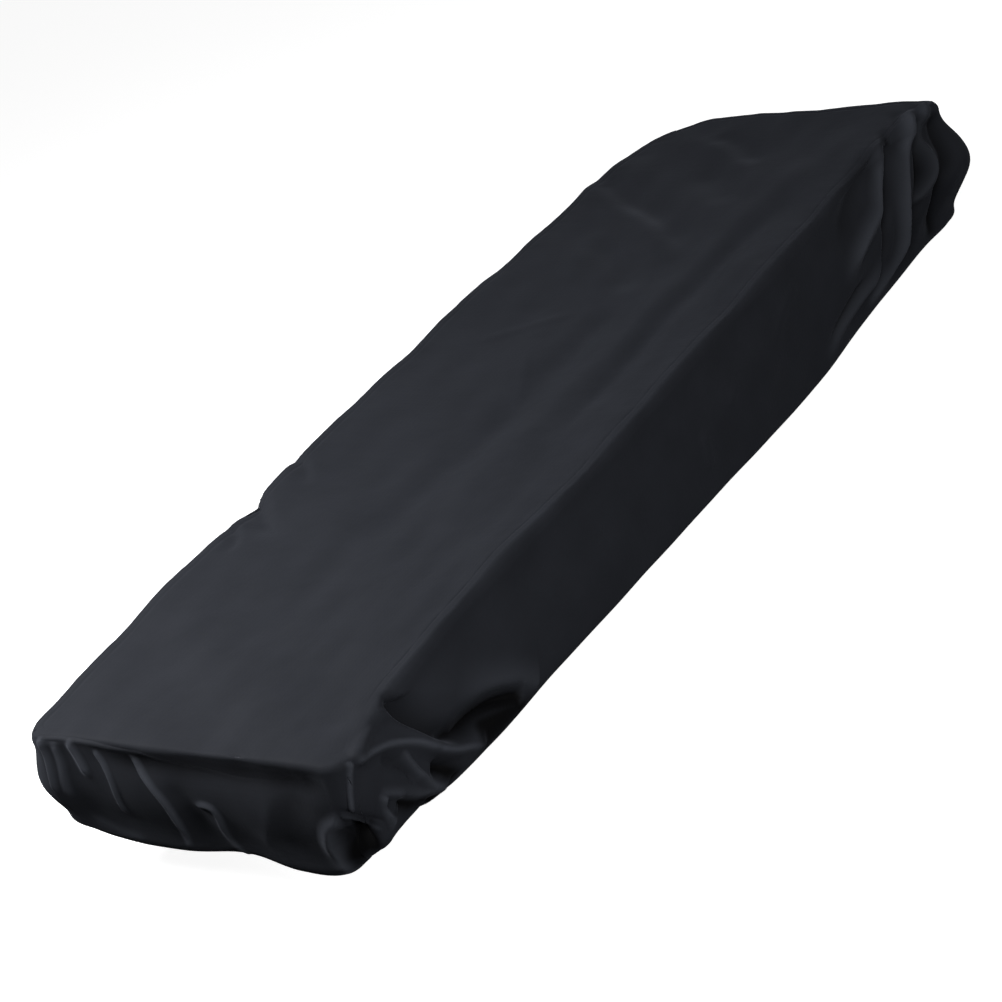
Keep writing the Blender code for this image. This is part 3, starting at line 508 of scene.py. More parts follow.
@dataclass(frozen=True)
class Drape:
    """The way in which the cover hangs: every point of its cloth comes from here."""

    half_length: float = 0.675
    half_width: float = 0.1855
    cloth: float = 0.0015
    seam_inset: float = 0.014
    hem_arc: float = float(np.radians(105.0))
    end_crowding: float = 0.60
    path_steps: int = 8
    last_station: int = 4
    # How far either side of a station its slope is read.
    slope_step: float = 1e-3
    # Where the bend is tighter than the seam's inset, the cloth makes up the rest this many times as fast.
    bend_settles: float = 3.0
    # The powers by which the ends' and the sides' edges fade over the top panel.
    end_fade: int = 8
    side_fade: int = 2
    # A seam's groove, and the turned-in edges beside it.
    groove_depth: float = 0.0005
    groove_width: float = 0.0017
    piping_height: float = 0.0008
    long_piping_reach: float = 0.0085
    # The puckers: the first two lengths beat against each other, and a share of the third is added. Each
    # side's are turned, so that no two sides are alike, and they start clear of the seam.
    pucker_height: float = 0.0003
    pucker_lengths: tuple[float, float, float] = (0.0053, 0.0170, 0.0087)
    pucker_share: float = 0.7
    pucker_turn: float = 1.3
    pucker_clear: float = 0.006
    pucker_reach: float = 0.014
    # The front seam starts to show this far from the middle, towards the near end, and comes out over so
    # much.
    seam_hides: float = 0.62
    seam_hides_over: float = 0.06
    # The drawn-in hem holds the folds flat: from this station on they fade, to this share at the hem.
    hold_station: float = 1.72
    hem_share: float = 0.22

    def side_table(self, side: Side) -> tuple[Section, ...]:
        """List the sections of a side from one corner to the other.

        Args:
            side: The side.

        Returns:
            Its sections, in rising order along it.
        """
        first, rows, last = SIDE_TABLES[side]
        half = self.half_length if side.is_long else self.half_width
        return (first._replace(along=-half), *rows, last._replace(along=half))

    def section_value(self, side: Side, column: str, along: np.ndarray) -> np.ndarray:
        """Read one column of a side's sections anywhere along it.

        Args:
            side: The side.
            column: The measure's name in Section.
            along: Places along the side.

        Returns:
            The measure at each place.
        """
        table = self.side_table(side)
        places = [row.along for row in table]
        return spline(along, places, [getattr(row, column) for row in table], level_ends=True)

    def hang(self, side: Side, along: np.ndarray) -> Hang:
        """Read how a side's skirt hangs anywhere along it."""
        return Hang(*(self.section_value(side, column, along) for column in Hang._fields))

    def near_seam(self, across: np.ndarray) -> np.ndarray:
        """How far down the near end the top panel reaches, as a station."""
        return spline(across, [p.along for p in NEAR_SEAM], [p.station for p in NEAR_SEAM])

    def crowded(self, t: np.ndarray) -> np.ndarray:
        """Spread steps from -1 to 1 so that they crowd towards the corners."""
        return t + self.end_crowding * np.sin(np.pi * t) / np.pi

    def plan(
        self, u: np.ndarray, v: np.ndarray
    ) -> tuple[np.ndarray, np.ndarray, tuple[np.ndarray, np.ndarray]]:
        """Place the flat part of the top panel.

        Args:
            u: Place along it, from -1 to 1.
            v: Place across it, from -1 to 1.

        Returns:
            Its x and y, and the direction out of its border in plan.
        """
        half_x = self.half_length - self.seam_inset
        half_y = self.half_width - self.seam_inset
        x = u * half_x
        y = v * half_y
        radius = np.empty_like(x)
        for (sign_x, sign_y), edge_radius in CORNER_RADII.items():
            here = (np.where(x < 0, -1, 1) == sign_x) & (np.where(y < 0, -1, 1) == sign_y)
            radius[here] = edge_radius - self.seam_inset
        corner_x = (np.abs(x) - half_x + radius) / radius
        corner_y = (np.abs(y) - half_y + radius) / radius
        inside = (corner_x > 0) & (corner_y > 0)
        round_x = corner_x * np.sqrt(np.maximum(0, 1 - corner_y ** 2 / 2))
        round_y = corner_y * np.sqrt(np.maximum(0, 1 - corner_x ** 2 / 2))
        out_x = np.where(inside, round_x, np.isclose(np.abs(u), 1).astype(float))
        out_y = np.where(inside, round_y, np.isclose(np.abs(v), 1).astype(float))
        size = np.maximum(np.hypot(out_x, out_y), TINY)
        outwards = (np.sign(x) * out_x / size, np.sign(y) * out_y / size)
        x = np.where(inside, np.sign(x) * (half_x + radius * (round_x - 1)), x)
        y = np.where(inside, np.sign(y) * (half_y + radius * (round_y - 1)), y)
        return x, y, outwards

    def edge_blend(self, column: str, x: np.ndarray, y: np.ndarray) -> tuple[np.ndarray, np.ndarray]:
        """Blend a column of all four sides inwards over the top panel.

        Args:
            column: The measure's name in Section.
            x: Places along the panel.
            y: Places across it.

        Returns:
            The share of the two ends and the share of the two long sides at each place.
        """
        weight_x = (x / self.half_length) ** self.end_fade
        weight_y = (y / self.half_width) ** self.side_fade
        along_x = np.where(y < 0, self.section_value(Side.FRONT, column, x),
                           self.section_value(Side.BACK, column, x))
        along_y = np.where(x < 0, self.section_value(Side.NEAR, column, y),
                           self.section_value(Side.FAR, column, y))
        return along_y * weight_x, along_x * weight_y

    def relief(self, x: np.ndarray, y: np.ndarray) -> np.ndarray:
        """Add up all folds and waves.

        Args:
            x: Places along the flat pattern.
            y: Places across it.

        Returns:
            The height at each place.
        """
        height = np.zeros_like(x)
        for wave in (*WAVES, *FINE_WAVES):
            height += wave.height * np.sin(2 * np.pi * (x / wave.length_x + y / wave.length_y) + wave.phase)
        for fold in FOLDS:
            height += fold_height(fold, x, y, self.path_steps)
        return height

    def marked(self, marks: dict[str, float], x: np.ndarray, y: np.ndarray) -> np.ndarray:
        """Work out how strongly some folds mark the cloth: the marks are painted shade in troughs and painted
        highlight on crests.

        Args:
            marks: The strength of each fold's mark, by its name.
            x: Places along the flat pattern.
            y: Places across it.

        Returns:
            The mark at each place, from 0 to 1.
        """
        mark = np.zeros_like(x)
        for fold in FOLDS:
            if fold.name in marks:
                share = fold_height(fold, x, y, self.path_steps) / max(fold.height, key=abs)
                mark = np.maximum(mark, marks[fold.name] * share)
        return np.clip(mark, 0, 1)

    def seam_strength(self, side: Side, along: np.ndarray) -> np.ndarray:
        """Work out how plainly a seam shows: stretched cloth hides it towards the near front corner.

        Args:
            side: The side whose seam it is.
            along: Places along the side.

        Returns:
            The share of the seam's relief that shows at each place.
        """
        if side is Side.NEAR:
            return spline(along, [p.along for p in NEAR_SEAM], [p.strength for p in NEAR_SEAM])
        if side is Side.FRONT:
            return smooth((along + self.seam_hides) / self.seam_hides_over)
        return np.ones_like(along)

    def seam_relief(self, side: Side, along: np.ndarray, below: np.ndarray) -> np.ndarray:
        """Draw a seam: its groove, the turned-in edges below it, and the puckers that its thread pulls up.

        Args:
            side: The side whose seam it is.
            along: Place along the side.
            below: How far below the seam the place is, and less than 0 above it.

        Returns:
            The height that the seam adds.
        """
        distance = np.abs(below)
        groove = -self.groove_depth * np.exp(-((below + self.groove_width / 2) / self.groove_width) ** 2)
        reach = self.long_piping_reach if side.is_long else self.groove_width
        piping = self.piping_height * np.exp(-((below - reach) / self.groove_width) ** 2)
        phase = self.pucker_turn * list(Side).index(side)
        first, second, third = self.pucker_lengths
        ripple = (np.sin(along / first + phase) * np.sin(along / second + 2 * phase)
                  + self.pucker_share * np.sin(along / third + 3 * phase))
        fade = np.exp(-distance / self.pucker_reach) * smooth(distance / self.pucker_clear)
        return self.seam_strength(side, along) * (groove + piping + self.pucker_height * ripple * fade)

    def top_base(self, u: np.ndarray, v: np.ndarray) -> tuple[np.ndarray, ...]:
        """Place the flat part of the top panel without its relief.

        Args:
            u: Place along it, from -1 to 1.
            v: Place across it, from -1 to 1.

        Returns:
            Its x and y in the flat pattern, and then x, y and z in space.
        """
        x, y, _ = self.plan(u, v)
        shift_x, shift_y = self.edge_blend("edge", x, y)
        rise_x, rise_y = self.edge_blend("rise", x, y)
        return x, y, x + np.sign(x) * shift_x, y + np.sign(y) * shift_y, rise_x + rise_y

    def profile(self, station: np.ndarray, hang: Hang) -> tuple[np.ndarray, np.ndarray]:
        """Run down a skirt: over the edge to station 1, down to 2, round the hem to 3, and in to 4.

        Args:
            station: Place on the way down.
            hang: How the skirt hangs there.

        Returns:
            The distance out from the seam, and the height.
        """
        over = np.clip(station, 0, 1) * np.pi / 2
        down = np.clip(station - 1, 0, 1)
        under = np.clip(station - 2, 0, 1) * self.hem_arc
        inward = np.clip(station - 3, 0, 1) * hang.tuck
        inset = (self.seam_inset - hang.bend) * (1 - smooth(station * self.bend_settles))
        out = self.seam_inset - hang.bend * (1 - np.sin(over)) - inset
        out = out + hang.swell * np.sin(np.pi * down) ** 2 + hang.flare * smooth(down)
        out = out - hang.roll * (1 - np.cos(under)) - inward * np.sin(self.hem_arc)
        z = -hang.bend * (1 - np.cos(over)) - (hang.depth - hang.bend - hang.roll) * down
        z = z - hang.roll * np.sin(under) - inward * np.cos(self.hem_arc)
        return out, z

    def reach(self, station: np.ndarray, hang: Hang) -> np.ndarray:
        """Measure down the flat pattern of a skirt, from the edge of the flat top.

        Args:
            station: Place on the way down.
            hang: How the skirt hangs there.

        Returns:
            The distance to each place.
        """
        out, z = self.profile(station, hang)
        down = np.where(station <= 1, out - z, self.seam_inset - z)
        return down + hang.roll * np.clip(station - 2, 0, 2)

    def skirt(self, side: Side, t: np.ndarray, station: np.ndarray) -> tuple[np.ndarray, np.ndarray]:
        """Place a skirt's cloth.

        Args:
            side: The side that the skirt hangs on.
            t: Place along it, from -1 to 1, with the outside on the right hand.
            station: Place on the way down.

        Returns:
            Its points, and their places in the flat pattern.
        """
        one = np.ones_like(t)
        u, v = {Side.FRONT: (t, -one), Side.FAR: (one, t), Side.BACK: (-t, one), Side.NEAR: (-one, -t)}[side]
        x, y, (out_x, out_y) = self.plan(u, v)
        along = u * self.half_length if side.is_long else v * self.half_width
        _, _, base_x, base_y, rise = self.top_base(u, v)
        hang = self.hang(side, along)
        out, z = self.profile(station, hang)
        ahead = np.clip(station + self.slope_step, 0, self.last_station)
        behind = np.clip(station - self.slope_step, 0, self.last_station)
        ahead_out, ahead_z = self.profile(ahead, hang)
        behind_out, behind_z = self.profile(behind, hang)
        turn_out = behind_z - ahead_z
        turn_up = ahead_out - behind_out
        size = np.maximum(np.hypot(turn_out, turn_up), TINY)
        reach = self.reach(station, hang)
        flat_x = x + out_x * reach
        flat_y = y + out_y * reach
        seam_reach = self.reach(self.near_seam(along), hang) if side is Side.NEAR else 0.0
        hold = 1 - (1 - self.hem_share) * smooth((station - self.hold_station) / (2 - self.hold_station))
        height = hold * self.relief(flat_x, flat_y) + self.seam_relief(side, along, reach - seam_reach)
        lift = rise * (1 - smooth(-z / hang.depth))
        out = out + height * turn_out / size
        px = base_x + out_x * out
        py = base_y + out_y * out
        pz = z + lift + height * turn_up / size
        return np.stack([px, py, pz], axis=-1), np.stack([flat_x, flat_y], axis=-1)

    def top(self, u: np.ndarray, v: np.ndarray) -> tuple[np.ndarray, np.ndarray]:
        """Place the top panel's cloth.

        Args:
            u: Place along it, from -1 to 1 on the flat part, and down to -2 over the near end's edge.
            v: Place across it, from -1 to 1.

        Returns:
            Its points, and their places in the flat pattern.
        """
        flat_u = np.maximum(u, -1)
        x, y, base_x, base_y, rise = self.top_base(flat_u, v)
        half_x = self.half_length - self.seam_inset
        half_y = self.half_width - self.seam_inset
        across = v * self.half_width
        near_reach = self.reach(self.near_seam(across), self.hang(Side.NEAR, across))
        z = rise + self.relief(x, y)
        z += self.seam_relief(Side.FRONT, flat_u * self.half_length, -(1 + v) * half_y)
        z += self.seam_relief(Side.BACK, flat_u * self.half_length, -(1 - v) * half_y)
        z += self.seam_relief(Side.FAR, across, -(1 - flat_u) * half_x)
        z += self.seam_relief(Side.NEAR, across, -(1 + flat_u) * half_x - near_reach)
        flat = np.stack([base_x, base_y, z], axis=-1)
        past = np.clip(-1 - u, 0, 1)
        wrapped, wrapped_place = self.skirt(Side.NEAR, -v, past * self.near_seam(across))
        over = (past > 0)[..., None]
        return np.where(over, wrapped, flat), np.where(over, wrapped_place, np.stack([x, y], axis=-1))


# ---------------------------------------------------------------- finishes


def linear(code: str) -> tuple[float, float, float, float]:
    """Turn an sRGB hex colour to linear light.

    Args:
        code: Six hex digits.

    Returns:
        Red, green, blue and an alpha of 1.
    """
    parts = [int(code[i:i + 2], 16) / 255 for i in (0, 2, 4)]
    red, green, blue = (c / 12.92 if c <= 0.04045 else ((c + 0.055) / 1.055) ** 2.4 for c in parts)
    return red, green, blue, 1.0


def add_node(
    tree: bpy.types.NodeTree,
    kind: str,
    settings: dict[str, object] | None = None,
    links: dict[str | int, bpy.types.NodeSocket | float | tuple[float, ...]] | None = None,
) -> bpy.types.Node:
    """Add a node with its settings, and link or set its inputs.

    Args:
        tree: The tree that it goes into.
        kind: Its type.
        settings: Its properties by name.
        links: For each input, an output to link or a value to set.

    Returns:
        The node.
    """
    node = tree.nodes.new(kind)
    for name, value in (settings or {}).items():
        setattr(node, name, value)
    for name, source in (links or {}).items():
        if isinstance(source, bpy.types.NodeSocket):
            tree.links.new(source, node.inputs[name])
        else:
            node.inputs[name].default_value = source
    return node


def blank_material(name: str, colour: str) -> tuple[bpy.types.Material, bpy.types.NodeTree]:
    """Start a material with an empty tree.

    Args:
        name: Its name.
        colour: The sRGB hex colour that a plain viewport shows.

    Returns:
        The material and its tree.
    """
    material = bpy.data.materials.new(name)
    material.use_nodes = True
    material.node_tree.nodes.clear()
    material.diffuse_color = linear(colour)
    return material, material.node_tree


def band_scale(spacing: float, radians: float = 20.0) -> float:
    """Work out a wave texture's scale from its bands' spacing.

    Args:
        spacing: How far apart the bands lie.
        radians: How far the texture's wave runs in one unit: 20 along an axis and 10 along the diagonal.

    Returns:
        The scale.
    """
    return 2 * np.pi / (radians * spacing)


@dataclass(frozen=True)
class StretchKnit:
    """Brushed polyester stretch knit, dyed charcoal black: dull, with a soft bloom on its folds, painted
    shade in the pockets between them and a painted highlight on their crests.
    """

    name: str = "charcoal_stretch_knit"
    deep: str = "24262b"
    worn: str = "2d2f35"
    # Painted shade for the pockets between folds, where little light gets in.
    painted_shade: str = "050506"
    # The colour of the painted highlight on the crests of folds.
    painted_highlight: str = "5c6069"
    roughness: tuple[float, float] = (0.68, 0.80)
    specular: float = 0.09
    sheen: float = 0.12
    sheen_roughness: float = 0.40
    sheen_tint: str = "c8cede"
    mottle_size: float = 0.055
    # A real wale is 0.6 mm wide and a course 0.5 mm high. Both are drawn ten times as large, or they would
    # not show at all.
    wale: float = 0.00628
    course: float = 0.00503
    knit_height: float = 0.00004
    crumple_size: float = 0.028
    crumple_height: float = 0.0005

    def material(self) -> bpy.types.Material:
        """Make the material."""
        material, tree = blank_material(self.name, self.deep)
        place = add_node(tree, "ShaderNodeUVMap", {"uv_map": FLAT_UV}).outputs["UV"]
        mottle = add_node(tree, "ShaderNodeTexNoise", {}, {
            "Vector": place, "Scale": 1 / self.mottle_size, "Detail": 4.0, "Roughness": 0.55})
        colour = add_node(tree, "ShaderNodeMix", {"data_type": "RGBA"}, {
            "Factor": mottle.outputs["Fac"], 6: linear(self.deep), 7: linear(self.worn)})
        # Painted shade: the troughs' attribute mixes a near-black colour into the cloth.
        painted_shade = add_node(tree, "ShaderNodeAttribute", {"attribute_name": POCKET_SHADE})
        shaded = add_node(tree, "ShaderNodeMix", {"data_type": "RGBA"}, {
            "Factor": painted_shade.outputs["Fac"], 6: colour.outputs[2], 7: linear(self.painted_shade)})
        # Painted highlight: the crests' attribute mixes a pale colour into the cloth.
        highlight_share = add_node(tree, "ShaderNodeAttribute", {"attribute_name": CREST_HIGHLIGHT})
        painted_highlight = add_node(tree, "ShaderNodeMix", {"data_type": "RGBA"}, {
            "Factor": highlight_share.outputs["Fac"], 6: shaded.outputs[2], 7: linear(self.painted_highlight)})
        gloss = add_node(tree, "ShaderNodeMapRange", {}, {
            "Value": mottle.outputs["Fac"], "To Min": self.roughness[1], "To Max": self.roughness[0]})
        crumple = add_node(tree, "ShaderNodeTexNoise", {}, {
            "Vector": place, "Scale": 1 / self.crumple_size, "Detail": 3.0, "Roughness": 0.5})
        crumple_bump = add_node(tree, "ShaderNodeBump", {}, {
            "Height": crumple.outputs["Fac"], "Strength": 1.0, "Distance": self.crumple_height})
        wales = add_node(tree, "ShaderNodeTexWave", {"bands_direction": "X", "wave_profile": "SIN"}, {
            "Vector": place, "Scale": band_scale(self.wale), "Distortion": 0.4, "Detail": 1.0})
        courses = add_node(tree, "ShaderNodeTexWave", {"bands_direction": "Y", "wave_profile": "SIN"}, {
            "Vector": place, "Scale": band_scale(self.course), "Distortion": 0.4, "Detail": 1.0})
        loops = add_node(tree, "ShaderNodeMath", {"operation": "MULTIPLY"}, {
            0: wales.outputs["Fac"], 1: courses.outputs["Fac"]})
        knit_bump = add_node(tree, "ShaderNodeBump", {}, {
            "Height": loops.outputs["Value"], "Strength": 1.0, "Distance": self.knit_height,
            "Normal": crumple_bump.outputs["Normal"]})
        shader = add_node(tree, "ShaderNodeBsdfPrincipled", {}, {
            "Base Color": painted_highlight.outputs[2], "Roughness": gloss.outputs["Result"],
            "Specular IOR Level": self.specular, "Sheen Weight": self.sheen,
            "Sheen Roughness": self.sheen_roughness, "Sheen Tint": linear(self.sheen_tint),
            "Normal": knit_bump.outputs["Normal"]})
        add_node(tree, "ShaderNodeOutputMaterial", {}, {"Surface": shader.outputs["BSDF"]})
        return material


@dataclass(frozen=True)
class SewingThread:
    """Spun polyester sewing thread, black: a little glossier than the cloth that it sinks into."""

    name: str = "black_sewing_thread"
    colour: str = "2b2d33"
    roughness: float = 0.42
    # A real thread turns in under a millimetre. One turn is drawn longer than a stitch, so that each stitch
    # catches the light a little differently.
    twist: float = 0.010
    twist_height: float = 0.00005

    def material(self) -> bpy.types.Material:
        """Make the material."""
        material, tree = blank_material(self.name, self.colour)
        place = add_node(tree, "ShaderNodeTexCoord").outputs["Object"]
        strands = add_node(tree, "ShaderNodeTexWave", {"bands_direction": "DIAGONAL"}, {
            "Vector": place, "Scale": band_scale(self.twist, 10.0)})
        bump = add_node(tree, "ShaderNodeBump", {}, {
            "Height": strands.outputs["Fac"], "Distance": self.twist_height})
        shader = add_node(tree, "ShaderNodeBsdfPrincipled", {}, {
            "Base Color": linear(self.colour), "Roughness": self.roughness, "Normal": bump.outputs["Normal"]})
        add_node(tree, "ShaderNodeOutputMaterial", {}, {"Surface": shader.outputs["BSDF"]})
        return material


# ---------------------------------------------------------------- the cover's pieces


def finished_object(name: str, bm: bmesh.types.BMesh, finish: bpy.types.Material) -> bpy.types.Object:
    """Turn a built mesh into an object of the scene.

    Args:
        name: The name of the object and of its mesh.
        bm: The mesh, which is freed.
        finish: Its material.

    Returns:
        The object.
    """
    mesh = bpy.data.meshes.new(name)
    bm.to_mesh(mesh)
    bm.free()
    mesh.materials.append(finish)
    obj = bpy.data.objects.new(name, mesh)
    bpy.context.scene.collection.objects.link(obj)
    return obj


@dataclass
class ClothPanel:
    """What all panels share: a sheet on a grid of points, thickened outwards."""

    drape: Drape
    finish: bpy.types.Material
    name: str
    node: str

    def sheet(self, points: np.ndarray, places: np.ndarray) -> bpy.types.Object:
        """Make the sheet.

        Args:
            points: Rows and columns of points in space.
            places: Their places in the flat pattern.

        Returns:
            The finished piece.
        """
        rows, columns = points.shape[:2]
        bm = bmesh.new()
        bmesh.ops.create_grid(bm, x_segments=columns - 1, y_segments=rows - 1, size=1.0)
        pattern = bm.loops.layers.uv.new(FLAT_UV)
        for vert in bm.verts:
            column = round((vert.co.x + 1) / 2 * (columns - 1))
            row = round((vert.co.y + 1) / 2 * (rows - 1))
            vert.co = points[row, column]
            for loop in vert.link_loops:
                loop[pattern].uv = places[row, column]
        for face in bm.faces:
            face.smooth = True
        for edge in bm.edges:
            edge.smooth = not edge.is_boundary
        piece = finished_object(self.name, bm, self.finish)
        # Painted shade in the troughs and painted highlight on the crests, which the cloth's material reads.
        for name, marks in ((POCKET_SHADE, PAINTED_SHADE), (CREST_HIGHLIGHT, PAINTED_HIGHLIGHT)):
            values = piece.data.attributes.new(name, "FLOAT", "POINT")
            values.data.foreach_set("value", self.drape.marked(marks, places[..., 0], places[..., 1]).ravel())
        thicken = piece.modifiers.new("thickness", "SOLIDIFY")
        thicken.thickness = self.drape.cloth
        thicken.offset = 1.0
        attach(piece, BODY)
        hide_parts(self.node)
        return piece


@dataclass
class TopPanel(ClothPanel):
    """The long top panel, which runs over the near end's edge."""

    name: str = "top_cloth"
    node: str = "top_panel"
    length_steps: int = 380
    width_steps: int = 108
    wrap_steps: int = 16

    def build(self) -> bpy.types.Object:
        """Make the panel."""
        along = self.drape.crowded(np.linspace(-1, 1, self.length_steps + 1))
        over = np.linspace(-2, -1, self.wrap_steps + 1)[:-1]
        u, v = np.meshgrid(np.concatenate([over, along]),
                           self.drape.crowded(np.linspace(-1, 1, self.width_steps + 1)))
        return self.sheet(*self.drape.top(u, v))


@dataclass
class Skirt(ClothPanel):
    """One skirt with its hem, from the seam at its top to the hem's tucked edge."""

    side: Side = Side.FRONT
    steps: int = 380
    # Rows over the edge, down the drop, round the hem and along its tuck.
    rows: tuple[int, int, int, int] = (14, 56, 12, 6)
    # On the near end, rows crowd towards the seam by this power.
    crowding: float = 1.3

    def stations(self) -> np.ndarray:
        """The rows' stations, from the hem's tucked edge up to the seam."""
        parts = [np.linspace(i, i + 1, count + 1)[1:] for i, count in enumerate(self.rows)]
        return np.concatenate([[0.0], *parts])[::-1]

    def build(self) -> bpy.types.Object:
        """Make the skirt."""
        t, station = np.meshgrid(self.drape.crowded(np.linspace(-1, 1, self.steps + 1)), self.stations())
        if self.side is Side.NEAR:
            seam = self.drape.near_seam(-t * self.drape.half_width)
            share = np.clip(station - 1, 0, 1) ** self.crowding
            station = np.where(station < 2, seam + share * (2 - seam), station)
        return self.sheet(*self.drape.skirt(self.side, t, station))


@dataclass
class HemStitching:
    """The row of stitches that closes the hem round its elastic, on the tucked part."""

    drape: Drape
    finish: bpy.types.Material
    name: str = "hem_stitching"
    pitch: float = 0.0036
    length: float = 0.0027
    thread: float = 0.00045
    sides: int = 6
    station: float = 3.40
    # How much of the thread's thickness the stitch's middle stands out of the cloth.
    stands_out: float = 0.1
    # The line of stitches: how much of a side it takes, its points on a long and on a short side, and how
    # far beside and below itself it is compared with the cloth to find the way out.
    line_share: float = 0.985
    long_points: int = 900
    short_points: int = 300
    beside: float = 1e-3
    below: float = 1e-2

    def line(self, side: Side) -> tuple[np.ndarray, np.ndarray]:
        """Draw the line of a side's stitches on the outer face.

        Args:
            side: The side.

        Returns:
            Points along the line, and the directions out of the cloth there.
        """
        count = self.long_points if side.is_long else self.short_points
        t = np.linspace(-self.line_share, self.line_share, count)
        station = np.full_like(t, self.station)
        here, _ = self.drape.skirt(side, t, station)
        beside, _ = self.drape.skirt(side, t + self.beside, station)
        below, _ = self.drape.skirt(side, t, station + self.below)
        out = np.cross(below - here, beside - here)
        out /= np.linalg.norm(out, axis=-1, keepdims=True)
        return here + out * (self.drape.cloth + self.stands_out * self.thread), out

    def build(self) -> bpy.types.Object:
        """Make all the stitches as one piece."""
        bm = bmesh.new()
        for side in Side:
            line, out = self.line(side)
            runs = np.concatenate([[0], np.cumsum(np.linalg.norm(np.diff(line, axis=0), axis=1))])
            for start in np.arange(self.pitch, runs[-1] - self.pitch, self.pitch):
                ends = [Vector([np.interp(start + d, runs, line[:, k]) for k in range(3)])
                        for d in (0, self.length)]
                up = Vector([np.interp(start, runs, out[:, k]) for k in range(3)])
                way = (ends[1] - ends[0]).normalized()
                across = up.cross(way).normalized()
                turn = Matrix((across, way.cross(across), way)).transposed().to_4x4()
                turn.translation = (ends[0] + ends[1]) / 2
                bmesh.ops.create_cone(bm, cap_ends=True, segments=self.sides, radius1=self.thread,
                                      radius2=self.thread, depth=self.length, matrix=turn)
        piece = finished_object(self.name, bm, self.finish)
        piece.data.shade_smooth()
        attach(piece, BODY)
        return piece


# ---------------------------------------------------------------- the studio


@dataclass(frozen=True)
class Lamp:
    """A soft lamp: where it stands, where it points, its size and its power."""

    name: str
    place: tuple[float, float, float]
    aim: tuple[float, float, float]
    size: float
    power: float


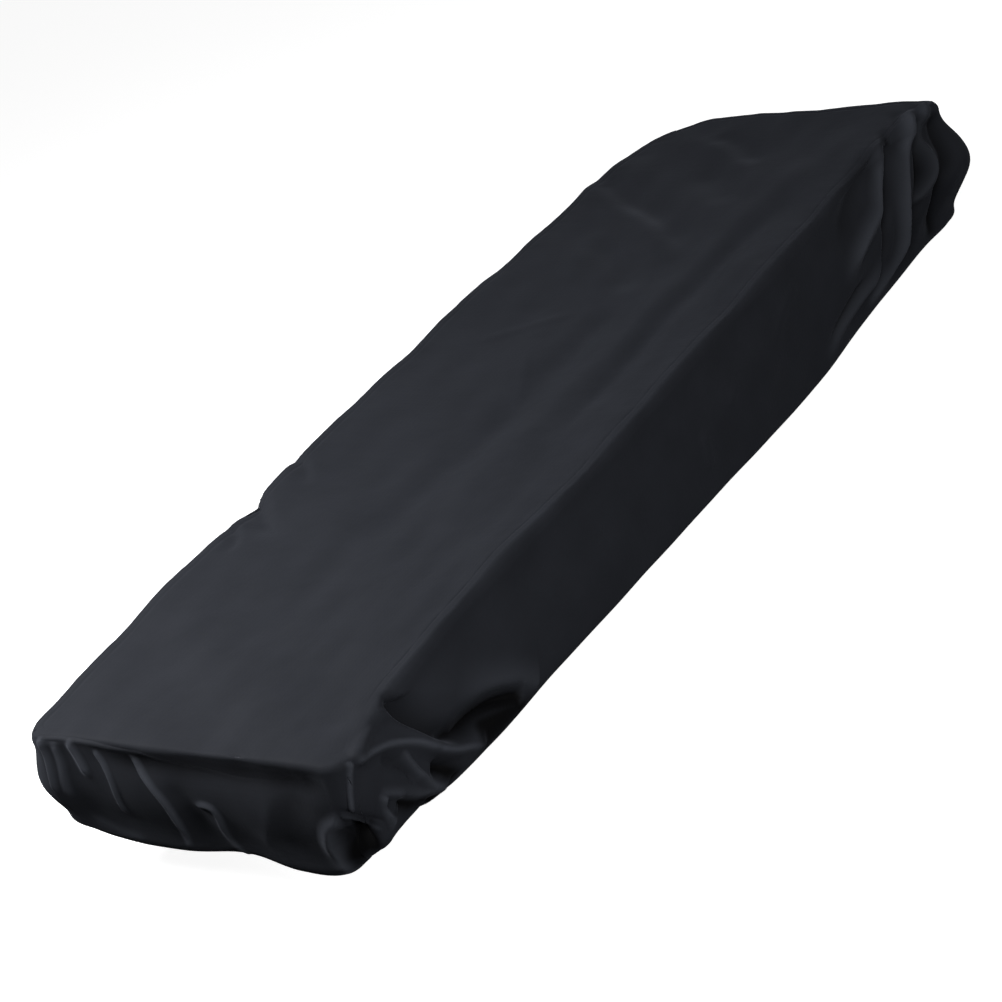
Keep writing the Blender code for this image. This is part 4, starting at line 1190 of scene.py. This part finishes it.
@dataclass
class Studio:
    """The plain pale floor, the soft light and the camera."""

    floor_level: float
    camera_place: tuple[float, float, float] = (-1.8485, -1.3738, 1.0255)
    camera_turn: tuple[float, float, float] = (62.083, 16.400, -59.734)
    lens: float = 83.65
    sensor: float = 36.0
    floor_size: float = 14.0
    floor_colour: str = "f4f4f4"
    floor_glow: float = 0.92
    ambient: float = 0.05
    # The heights, as the upward part of a direction, between which the ambient light grows to its full.
    horizon: tuple[float, float] = (-0.1, 0.7)
    lamps: tuple[Lamp, ...] = (
        Lamp("soft_box_above", (-0.74, 0.75, 0.95), (-0.45, 0.00, 0.00), 0.80, 20.5),
        Lamp("soft_box_front", (-1.45, -1.20, 1.75), (-0.30, -0.10, 0.00), 0.90, 15.0),
        Lamp("soft_box_low", (-0.90, -2.25, 0.60), (-0.05, -0.10, -0.05), 0.60, 18.0),
        Lamp("soft_box_far", (1.90, -1.20, 0.50), (0.60, -0.10, -0.05), 0.70, 2.2),
        Lamp("soft_box_end", (-2.00, 0.55, 0.02), (-0.60, 0.00, -0.06), 0.50, 1.6),
    )

    def camera(self) -> None:
        """Set the camera at the photograph's view."""
        data = bpy.data.cameras.new("camera")
        data.lens = self.lens
        data.sensor_width = self.sensor
        obj = bpy.data.objects.new("camera", data)
        obj.location = self.camera_place
        obj.rotation_euler = Euler(tuple(np.radians(self.camera_turn)), "XYZ")
        bpy.context.scene.collection.objects.link(obj)
        bpy.context.scene.camera = obj

    def light(self) -> None:
        """Hang the lamps and set the ambient light."""
        for lamp in self.lamps:
            data = bpy.data.lights.new(lamp.name, "AREA")
            data.shape = "DISK"
            data.size = lamp.size
            data.energy = lamp.power
            obj = bpy.data.objects.new(lamp.name, data)
            obj.location = lamp.place
            aim = Vector(lamp.aim) - Vector(lamp.place)
            obj.rotation_euler = aim.to_track_quat("-Z", "Y").to_euler()
            bpy.context.scene.collection.objects.link(obj)
        world = bpy.data.worlds.new("studio")
        world.use_nodes = True
        back = world.node_tree.nodes["Background"]
        way = add_node(world.node_tree, "ShaderNodeTexCoord").outputs["Generated"]
        height = add_node(world.node_tree, "ShaderNodeSeparateXYZ", {}, {"Vector": way}).outputs["Z"]
        sky = add_node(world.node_tree, "ShaderNodeMapRange", {}, {
            "Value": height, "From Min": self.horizon[0], "From Max": self.horizon[1],
            "To Min": 0.0, "To Max": self.ambient})
        world.node_tree.links.new(sky.outputs["Result"], back.inputs["Strength"])
        bpy.context.scene.world = world
        bpy.context.scene.view_settings.view_transform = "Standard"

    def floor(self) -> None:
        """Lay the floor."""
        bm = bmesh.new()
        bmesh.ops.create_grid(bm, x_segments=1, y_segments=1, size=self.floor_size)
        bmesh.ops.translate(bm, verts=bm.verts, vec=(0, 0, self.floor_level))
        material, tree = blank_material("painted_floor", self.floor_colour)
        paint = add_node(tree, "ShaderNodeBsdfPrincipled", {}, {
            "Base Color": linear(self.floor_colour), "Roughness": 0.8, "Specular IOR Level": 0.1,
            "Emission Color": (1, 1, 1, 1), "Emission Strength": self.floor_glow})
        add_node(tree, "ShaderNodeOutputMaterial", {}, {"Surface": paint.outputs["BSDF"]})
        obj = finished_object("floor", bm, material)
        obj.visible_diffuse = False
        obj.visible_glossy = False
        obj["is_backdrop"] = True

    def build(self) -> None:
        """Set up the studio."""
        self.camera()
        self.light()
        self.floor()


def main() -> None:
    """Build the cover, then the studio round it."""
    logging.basicConfig(level=logging.INFO, format="%(message)s")
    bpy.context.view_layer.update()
    drape = Drape()
    cloth = StretchKnit().material()
    thread = SewingThread().material()
    top = TopPanel(drape, cloth).build()
    LOG.info("top panel: %d faces", len(top.data.polygons))
    skirts = {
        Side.FRONT: Skirt(drape, cloth, "front_cloth", "front_skirt", Side.FRONT, steps=460),
        Side.FAR: Skirt(drape, cloth, "far_end_cloth", "far_end_skirt", Side.FAR, steps=180),
        Side.BACK: Skirt(drape, cloth, "back_cloth", "back_skirt", Side.BACK, steps=340),
        Side.NEAR: Skirt(drape, cloth, "near_end_cloth", "near_end_skirt", Side.NEAR, steps=300,
                         rows=(0, 74, 12, 6)),
    }
    for side, skirt in skirts.items():
        skirt.build()
    stitches = HemStitching(drape, thread).build()
    LOG.info("hem stitching: %d faces", len(stitches.data.polygons))
    low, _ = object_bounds()
    Studio(floor_level=low.z - FLOOR_GAP).build()


if __name__ == "__main__":
    main()
